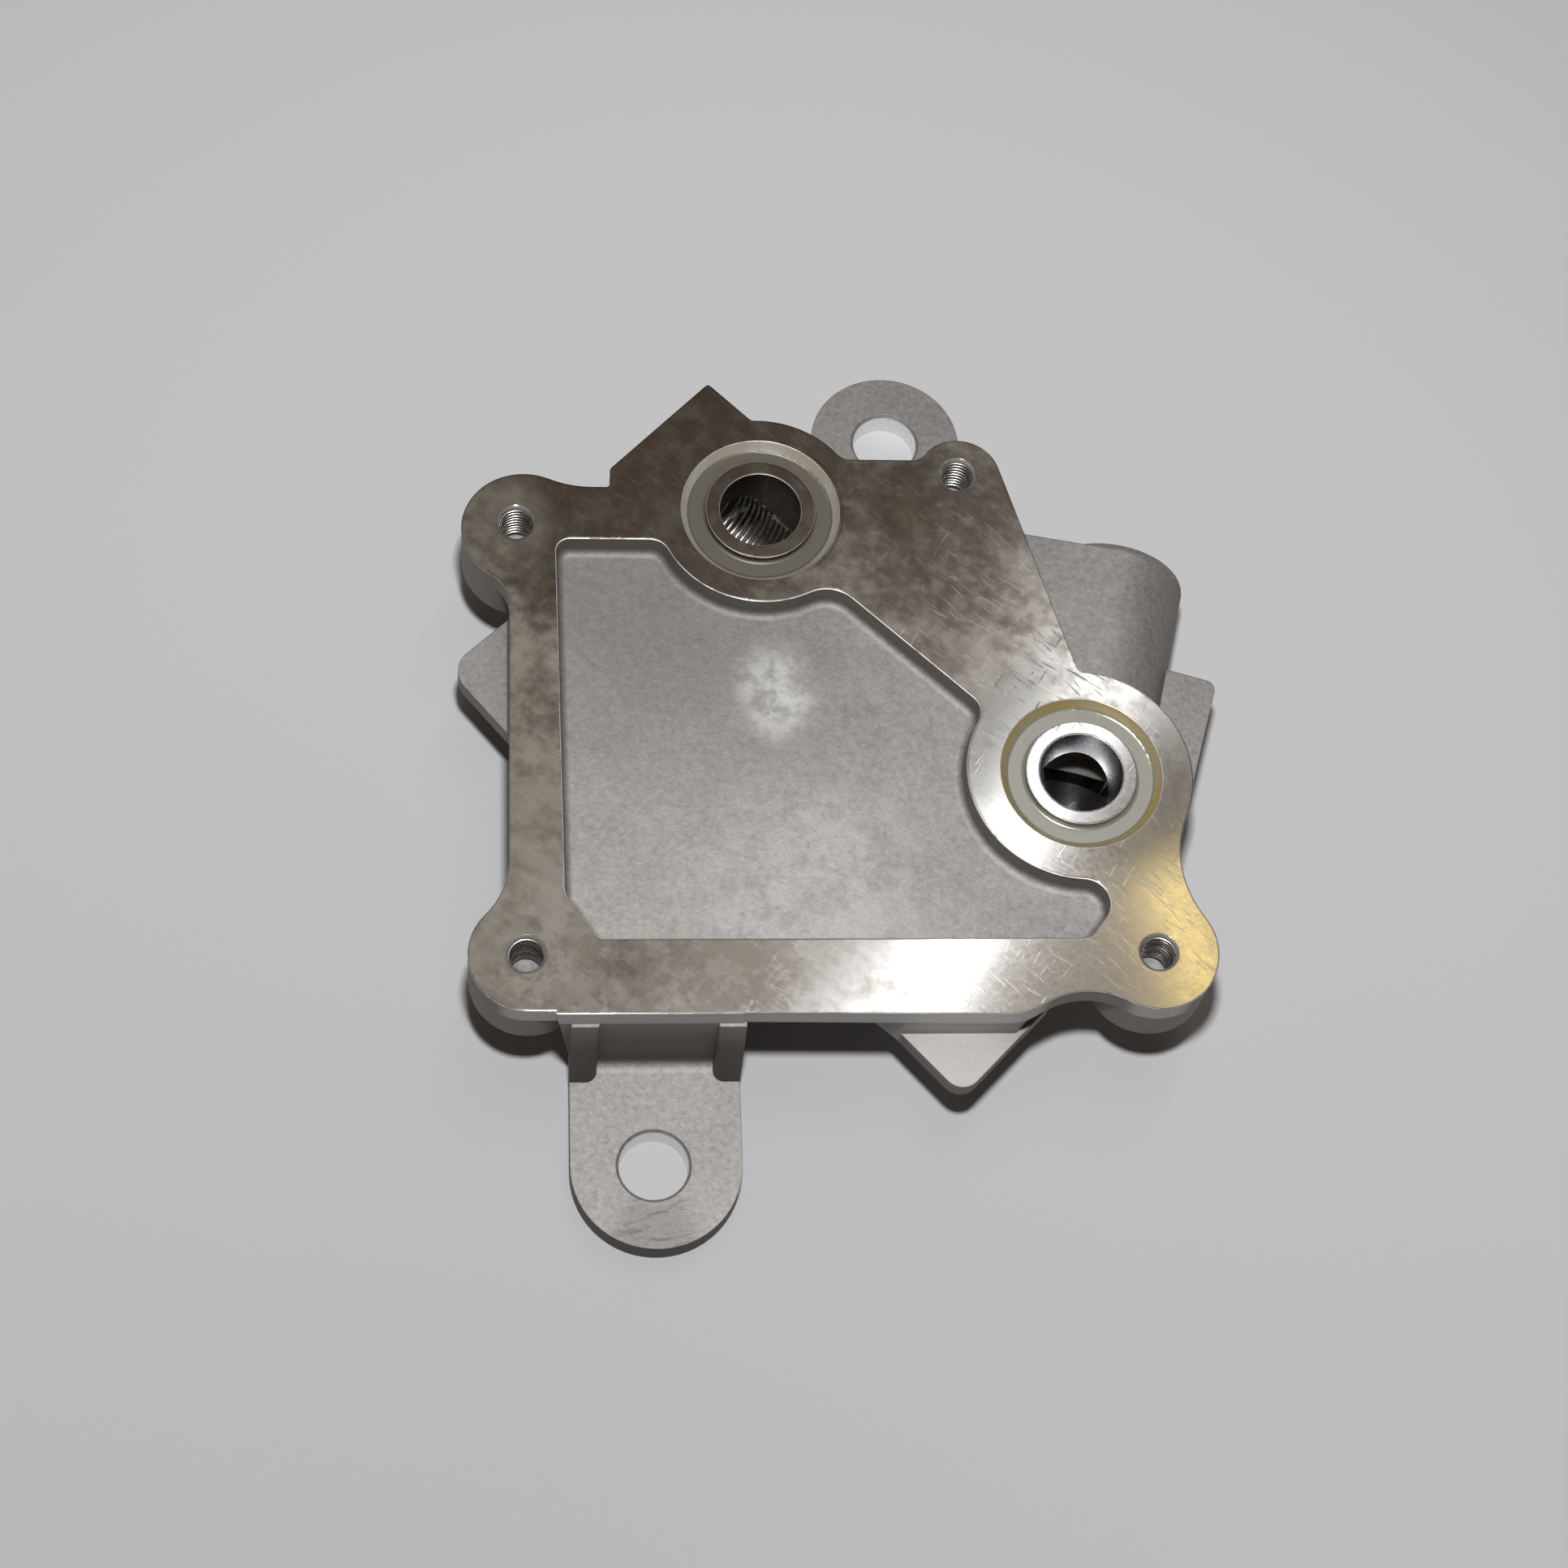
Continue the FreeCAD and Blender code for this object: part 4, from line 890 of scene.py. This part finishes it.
@dataclass
class Threads:
    """Thread ridges in the tapped holes and in the two side ports."""

    bolt_radius: float = 0.0040
    bolt_ridge: float = 0.00038
    bolt_pitch: float = 0.00125
    bolt_low: float = 0.0256
    bolt_turns: int = 9
    steps_per_turn: int = 36
    port_pitch: float = 0.0015
    port_ridge: float = 0.00045
    port_clear_radius: float = 0.0100
    side_threads: tuple[SideThread, ...] = (
        SideThread("inlet_mouth_thread", Plan.REAR_PORT, 135.0, 0.0148, 0.0100, 11),
        SideThread("inlet_inner_thread", Plan.REAR_PORT, 135.0, -0.0040, 0.0093, 12),
        SideThread("outlet_mouth_thread", Plan.FRONT_PORT, 75.6, 0.0457, 0.0100, 11),
    )
    finish: BrightCutFinish = BrightCutFinish()

    def tree(self) -> NodeSketch:
        """Make the tree that winds one ridge at each point of a mesh.

        The ridge is left out where it would cross the open oil port above it.

        Returns:
            The tree.
        """
        t = NodeSketch("thread_ridges", {
            "Radius": ("NodeSocketFloat", self.bolt_radius),
            "Ridge": ("NodeSocketFloat", self.bolt_ridge),
            "Pitch": ("NodeSocketFloat", self.bolt_pitch),
            "Turns": ("NodeSocketInt", self.bolt_turns),
            "Tilt": ("NodeSocketVector", (0.0, 0.0, 0.0)),
            "Port centre": ("NodeSocketVector", (0.0, 0.0, 0.0)),
            "Port radius": ("NodeSocketFloat", 0.0),
            "Port floor": ("NodeSocketFloat", 1.0),
            "Material": ("NodeSocketMaterial", None),
        })
        spiral = t.node("GeometryNodeCurveSpiral", {
            "Resolution": self.steps_per_turn, "Rotations": t.given("Turns"),
            "Start Radius": t.given("Radius"), "End Radius": t.given("Radius"),
            "Height": t.math("MULTIPLY", t.given("Pitch"), t.given("Turns")),
        })
        tilt = t.node("FunctionNodeEulerToRotation", {0: t.given("Tilt")}).outputs[0]
        placed = t.node("GeometryNodeInstanceOnPoints", {
            "Points": t.given("Geometry"), "Instance": spiral.outputs[0], "Rotation": tilt,
        })
        wound = t.node("GeometryNodeRealizeInstances", {"Geometry": placed.outputs[0]}).outputs[0]
        thin = t.node("GeometryNodeCurveToMesh", {"Curve": wound}).outputs[0]
        clear = {"Geometry": thin, "Selection": self.in_open_port(t)}
        kept = t.node("GeometryNodeDeleteGeometry", clear, domain="POINT").outputs[0]
        path = t.node("GeometryNodeMeshToCurve", {"Mesh": kept}).outputs[0]
        t.finish(t.bead(path, t.given("Ridge")), t.given("Material"))
        return t

    def in_open_port(self, t: NodeSketch) -> Socket:
        """Choose the points that lie in the open oil port.

        Args:
            t: Tree of the threads.

        Returns:
            The choice's socket.
        """
        here = t.node("GeometryNodeInputPosition", {}).outputs[0]
        off = t.node("ShaderNodeVectorMath", {0: here, 1: t.given("Port centre")}, operation="SUBTRACT")
        level = {0: off.outputs[0], 1: (1.0, 1.0, 0.0)}
        flat = t.node("ShaderNodeVectorMath", level, operation="MULTIPLY").outputs[0]
        away = t.node("ShaderNodeVectorMath", {0: flat}, operation="LENGTH").outputs["Value"]
        height = t.node("ShaderNodeSeparateXYZ", {0: here}).outputs[2]
        inside = t.math("LESS_THAN", away, t.given("Port radius"))
        return t.math("MULTIPLY", inside, t.math("GREATER_THAN", height, t.given("Port floor")))

    def points(self, name: str, places: list[Place]) -> bpy.types.Mesh:
        """A mesh of loose points.

        Args:
            name: Name of the mesh.
            places: Positions of the points.

        Returns:
            The mesh.
        """
        mesh = bpy.data.meshes.new(name)
        mesh.from_pydata(places, [], [])
        return mesh

    def start(self, run: SideThread) -> Place:
        """Where one run of thread starts on its port's level axis.

        Args:
            run: The run of thread.

        Returns:
            The starting point.
        """
        x, y = run.port.value
        turn = math.radians(run.angle)
        return (x + math.cos(turn) * run.reach, y + math.sin(turn) * run.reach, PORT_AXIS_HEIGHT)

    def build(self) -> list[bpy.types.Object]:
        """Wind all threads.

        Returns:
            The thread pieces.
        """
        tree = self.tree()
        crest = self.finish.material()
        bolts = [(*bolt.value, self.bolt_low) for bolt in BOLTS]
        pieces = [tree.grow("bolt_hole_threads", self.points("bolt_hole_threads", bolts), {
            "Radius": self.bolt_radius, "Ridge": self.bolt_ridge, "Pitch": self.bolt_pitch,
            "Turns": self.bolt_turns, "Material": crest,
        })]
        for run in self.side_threads:
            pieces.append(tree.grow(run.name, self.points(run.name, [self.start(run)]), {
                "Radius": run.radius, "Ridge": self.port_ridge, "Pitch": self.port_pitch, "Turns": run.turns,
                "Tilt": (0.0, math.radians(90.0), math.radians(run.angle)),
                "Port centre": (*run.port.value, 0.0), "Port radius": self.port_clear_radius,
                "Port floor": PORT_AXIS_HEIGHT, "Material": crest,
            }))
        return [ride_with_casting(piece) for piece in pieces]


@dataclass
class BurrAndHighlightBeads:
    """Thin bright beads along the rims of the top face: partly burrs left by the cutter, partly a painted
    edge highlight standing in for light caught by the rounded rims.
    """

    pocket_width: float = 0.00028
    port_width: float = 0.00014
    outer_width: float = 0.00006
    sink_ratio: float = 1.03
    step: float = 0.0008
    seed: float = 3.0
    ragged_scale: float = 300.0
    ragged_detail: float = 3.0
    ragged_low: float = 0.34
    ragged_gain: float = 4.2
    thinnest: float = 0.15
    same_place: float = 1e-6
    level_margin: float = 1e-5
    least_crease: float = 0.02
    outer_span: float = 0.15
    pocket_span: float = 0.06
    port_span: float = 0.018
    # Bright bead colour: partly burr metal, partly painted edge highlight.
    finish: BrightCutFinish = BrightCutFinish("burr_and_highlight_beads", (0.86, 0.81, 0.79), (0.44, 0.40, 0.37), 0.50)

    def tree(self) -> NodeSketch:
        """Make the tree that runs a ragged bead along each edge of a mesh.

        Returns:
            The tree.
        """
        t = NodeSketch("rim_beads_burr_and_highlight", {
            "Width": ("NodeSocketFloat", self.port_width),
            "Sink": ("NodeSocketFloat", self.port_width),
            "Step": ("NodeSocketFloat", self.step),
            "Seed": ("NodeSocketFloat", self.seed),
            "Material": ("NodeSocketMaterial", None),
        })
        path = t.node("GeometryNodeMeshToCurve", {"Mesh": t.given("Geometry")}).outputs[0]
        spacing = {"Curve": path, "Length": t.given("Step")}
        even = t.node("GeometryNodeResampleCurve", spacing, mode="LENGTH").outputs[0]
        shift = t.node("ShaderNodeCombineXYZ", {2: t.math("MULTIPLY", t.given("Sink"), -1.0)}).outputs[0]
        low = t.node("GeometryNodeSetPosition", {"Geometry": even, "Offset": shift}).outputs[0]
        sized = t.node("GeometryNodeSetCurveRadius", {"Curve": low, "Radius": self.thickness(t)}).outputs[0]
        t.finish(t.bead(sized, t.given("Width")), t.given("Material"))
        return t

    def thickness(self, t: NodeSketch) -> Socket:
        """Ragged thickness along the bead.

        Args:
            t: Tree of the burrs.

        Returns:
            Share of the full width, between the thinnest and one.
        """
        ragged = t.node("ShaderNodeTexNoise", {
            "Vector": t.node("GeometryNodeInputPosition", {}).outputs[0], "W": t.given("Seed"),
            "Scale": self.ragged_scale, "Detail": self.ragged_detail,
        }, noise_dimensions="4D").outputs[0]
        share = t.math("MULTIPLY", t.math("SUBTRACT", ragged, self.ragged_low), self.ragged_gain)
        return t.math("MINIMUM", t.math("MAXIMUM", share, self.thinnest), 1.0)

    def rims(self) -> dict[Rim, bpy.types.Mesh]:
        """Find the rims of the top face on a merged copy of the casting.

        Returns:
            Edge meshes by kind of rim.
        """
        work = bmesh.new()
        work.from_mesh(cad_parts[CASTING_NODE].data)
        bmesh.ops.remove_doubles(work, verts=work.verts, dist=self.same_place)
        level = TOP_HEIGHT - self.level_margin
        edges = []
        for edge in work.edges:
            if any(v.co.z < level for v in edge.verts) or len(edge.link_faces) != 2:
                continue
            if abs(edge.link_faces[0].normal.z - edge.link_faces[1].normal.z) > self.least_crease:
                edges.append((edge.verts[0].index, edge.verts[1].index))
        places = {v.index: v.co.copy() for v in work.verts}
        work.free()
        found: dict[Rim, list[Edge]] = {rim: [] for rim in Rim}
        for loop in self.chains(edges):
            rim = self.kind([places[i] for pair in loop for i in pair])
            if rim is not None:
                found[rim].extend(loop)
        return {rim: self.edge_mesh(rim, pairs, places) for rim, pairs in found.items()}

    def kind(self, spots: list[Vector]) -> Union[Rim, None]:
        """Tell which rim a loop is from its span in plan.

        Args:
            spots: Points of the loop.

        Returns:
            The kind of rim, or none for a small hole.
        """
        wide = max(s.x for s in spots) - min(s.x for s in spots)
        deep = max(s.y for s in spots) - min(s.y for s in spots)
        if wide > self.outer_span:
            return Rim.OUTER
        if wide > self.pocket_span and deep > self.pocket_span:
            return Rim.POCKET
        return Rim.PORT if wide > self.port_span else None

    def edge_mesh(self, rim: Rim, pairs: list[Edge], places: dict[int, Vector]) -> bpy.types.Mesh:
        """Make a mesh of bare edges.

        Args:
            rim: Kind of rim, for the mesh's name.
            pairs: Edges as pairs of vertex numbers.
            places: Positions by vertex number.

        Returns:
            The mesh.
        """
        order = {i: n for n, i in enumerate(sorted({i for pair in pairs for i in pair}))}
        mesh = bpy.data.meshes.new(rim.value + "_rim")
        mesh.from_pydata([places[i] for i in order], [(order[a], order[b]) for a, b in pairs], [])
        return mesh

    def chains(self, edges: list[Edge]) -> list[list[Edge]]:
        """Gather edges into connected runs.

        Args:
            edges: Pairs of vertex numbers.

        Returns:
            Lists of edges that hang together.
        """
        home: dict[int, int] = {}

        def root(i: int) -> int:
            """Follow a vertex to its run's first one."""
            while home.setdefault(i, i) != i:
                i = home[i]
            return i

        for a, b in edges:
            home[root(a)] = root(b)
        runs: dict[int, list[Edge]] = {}
        for a, b in edges:
            runs.setdefault(root(a), []).append((a, b))
        return list(runs.values())

    def build(self) -> list[bpy.types.Object]:
        """Run the bright beads, burrs and painted edge highlight, along the rims.

        Returns:
            The bead pieces.
        """
        tree = self.tree()
        metal = self.finish.material()
        widths = {Rim.POCKET: self.pocket_width, Rim.PORT: self.port_width, Rim.OUTER: self.outer_width}
        pieces = []
        for rim, mesh in self.rims().items():
            width = widths[rim]
            values = {"Width": width, "Sink": width * self.sink_ratio, "Material": metal}
            pieces.append(ride_with_casting(tree.grow(rim.value + "_burr_and_highlight_bead", mesh, values)))
        return pieces


@dataclass(frozen=True)
class Lamp:
    """A flat lamp, by its place, the point that it faces, length and width, power and colour."""

    name: str
    place: Place
    aim: Place
    span: Pair
    power: float
    colour: Colour
    roll: float = 0.0

    def hang(self) -> None:
        """Hang the lamp, rolled about its own axis."""
        data = bpy.data.lights.new(self.name, "AREA")
        data.shape = "RECTANGLE"
        data.size, data.size_y = self.span
        data.energy = self.power
        data.color = self.colour
        lamp = bpy.data.objects.new(self.name, data)
        facing = (Vector(self.aim) - Vector(self.place)).to_track_quat("-Z", "Y").to_matrix().to_4x4()
        roll = Matrix.Rotation(math.radians(self.roll), 4, "Z")
        lamp.matrix_world = Matrix.Translation(self.place) @ facing @ roll
        bpy.context.scene.collection.objects.link(lamp)


@dataclass
class Studio:
    """Pale floor, soft light and the camera of the photograph."""

    floor_half: float = 2.5
    floor_finish: FloorFinish = FloorFinish()
    camera_place: Place = (-0.036148, -0.217024, 0.685625)
    camera_turn: Place = (24.7547, -4.8580, -2.0912)
    camera_lens: float = 72.0195
    sensor: float = 36.0
    nearest: float = 0.01
    ceiling_direction: Place = (0.055, 0.33, 0.942)
    ceiling_fade: tuple[float, float, float, float] = (0.93, 0.995, 0.050, 0.56)
    room_colour: Colour = (1.0, 0.78, 0.58)
    ceiling_colour: Colour = (1.0, 0.97, 0.93)
    lamps: tuple[Lamp, ...] = (
        Lamp("key_softbox", (-0.015, -0.055, 0.690), (0.045, 0.090, 0.038),
             (0.042, 0.042), 4.00, (1.0, 1.0, 1.0)),
        Lamp("strip_light", (0.303, 0.601, 1.238), (0.303, 0.601, 0.0),
             (0.90, 0.040), 0.78, (0.99, 0.99, 1.0), 58.0),
        Lamp("warm_fill", (0.412, 0.521, 1.238), (0.412, 0.521, 0.0),
             (0.12, 0.042), 0.034, (1.0, 0.73, 0.20), 103.0),
    )

    def floor(self, height: float) -> None:
        """Lay the floor.

        Args:
            height: Height of its surface.
        """
        mesh = bpy.data.meshes.new("floor")
        half = self.floor_half
        corners = [(-half, -half, height), (half, -half, height), (half, half, height), (-half, half, height)]
        mesh.from_pydata(corners, [], [(0, 1, 2, 3)])
        mesh.materials.append(self.floor_finish.material())
        floor = bpy.data.objects.new("floor", mesh)
        bpy.context.scene.collection.objects.link(floor)
        floor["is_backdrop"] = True

    def room(self) -> None:
        """Set the plain light of the room: a bright ceiling over dim walls."""
        world = bpy.data.worlds.new("room")
        world.use_nodes = True
        nodes, links = world.node_tree.nodes, world.node_tree.links
        nodes.clear()
        place = nodes.new("ShaderNodeTexCoord")
        towards = nodes.new("ShaderNodeVectorMath")
        towards.operation = "DOT_PRODUCT"
        towards.inputs[1].default_value = self.ceiling_direction
        ramp = nodes.new("ShaderNodeMapRange")
        ramp.interpolation_type = "SMOOTHSTEP"
        for key, value in zip(("From Min", "From Max", "To Min", "To Max"), self.ceiling_fade):
            ramp.inputs[key].default_value = value
        tint = nodes.new("ShaderNodeMix")
        tint.data_type = "RGBA"
        tint.inputs[6].default_value = (*self.room_colour, 1.0)
        tint.inputs[7].default_value = (*self.ceiling_colour, 1.0)
        back = nodes.new("ShaderNodeBackground")
        out = nodes.new("ShaderNodeOutputWorld")
        links.new(place.outputs["Generated"], towards.inputs[0])
        links.new(towards.outputs["Value"], ramp.inputs["Value"])
        links.new(ramp.outputs[0], tint.inputs[0])
        links.new(tint.outputs[2], back.inputs["Color"])
        links.new(ramp.outputs[0], back.inputs["Strength"])
        links.new(back.outputs[0], out.inputs["Surface"])
        bpy.context.scene.world = world

    def camera(self) -> None:
        """Stand the camera where the photograph was taken from."""
        data = bpy.data.cameras.new("camera")
        data.lens = self.camera_lens
        data.sensor_width = self.sensor
        data.sensor_fit = "HORIZONTAL"
        data.clip_start = self.nearest
        camera = bpy.data.objects.new("camera", data)
        turn = Euler([math.radians(a) for a in self.camera_turn], "XYZ")
        camera.matrix_world = Matrix.Translation(self.camera_place) @ turn.to_matrix().to_4x4()
        bpy.context.scene.collection.objects.link(camera)
        bpy.context.scene.camera = camera

    def build(self, height: float) -> None:
        """Set up the whole studio.

        Args:
            height: Height of the floor.
        """
        self.camera()
        self.floor(height)
        for lamp in self.lamps:
            lamp.hang()
        self.room()
        bpy.context.scene.view_settings.view_transform = "Standard"


def plain(bounds: tuple) -> list[list[float]]:
    """Bounds as plain lists of numbers."""
    return [[float(v) for v in corner] for corner in bounds]


def main() -> None:
    """Build the looks piece by piece."""
    logging.basicConfig(level=logging.INFO, format="%(name)s %(message)s")
    cad_box = plain(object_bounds())
    Casting().dress()
    Threads().build()
    BurrAndHighlightBeads().build()
    Studio().build(cad_box[0][2])


if __name__ == "__main__":
    main()
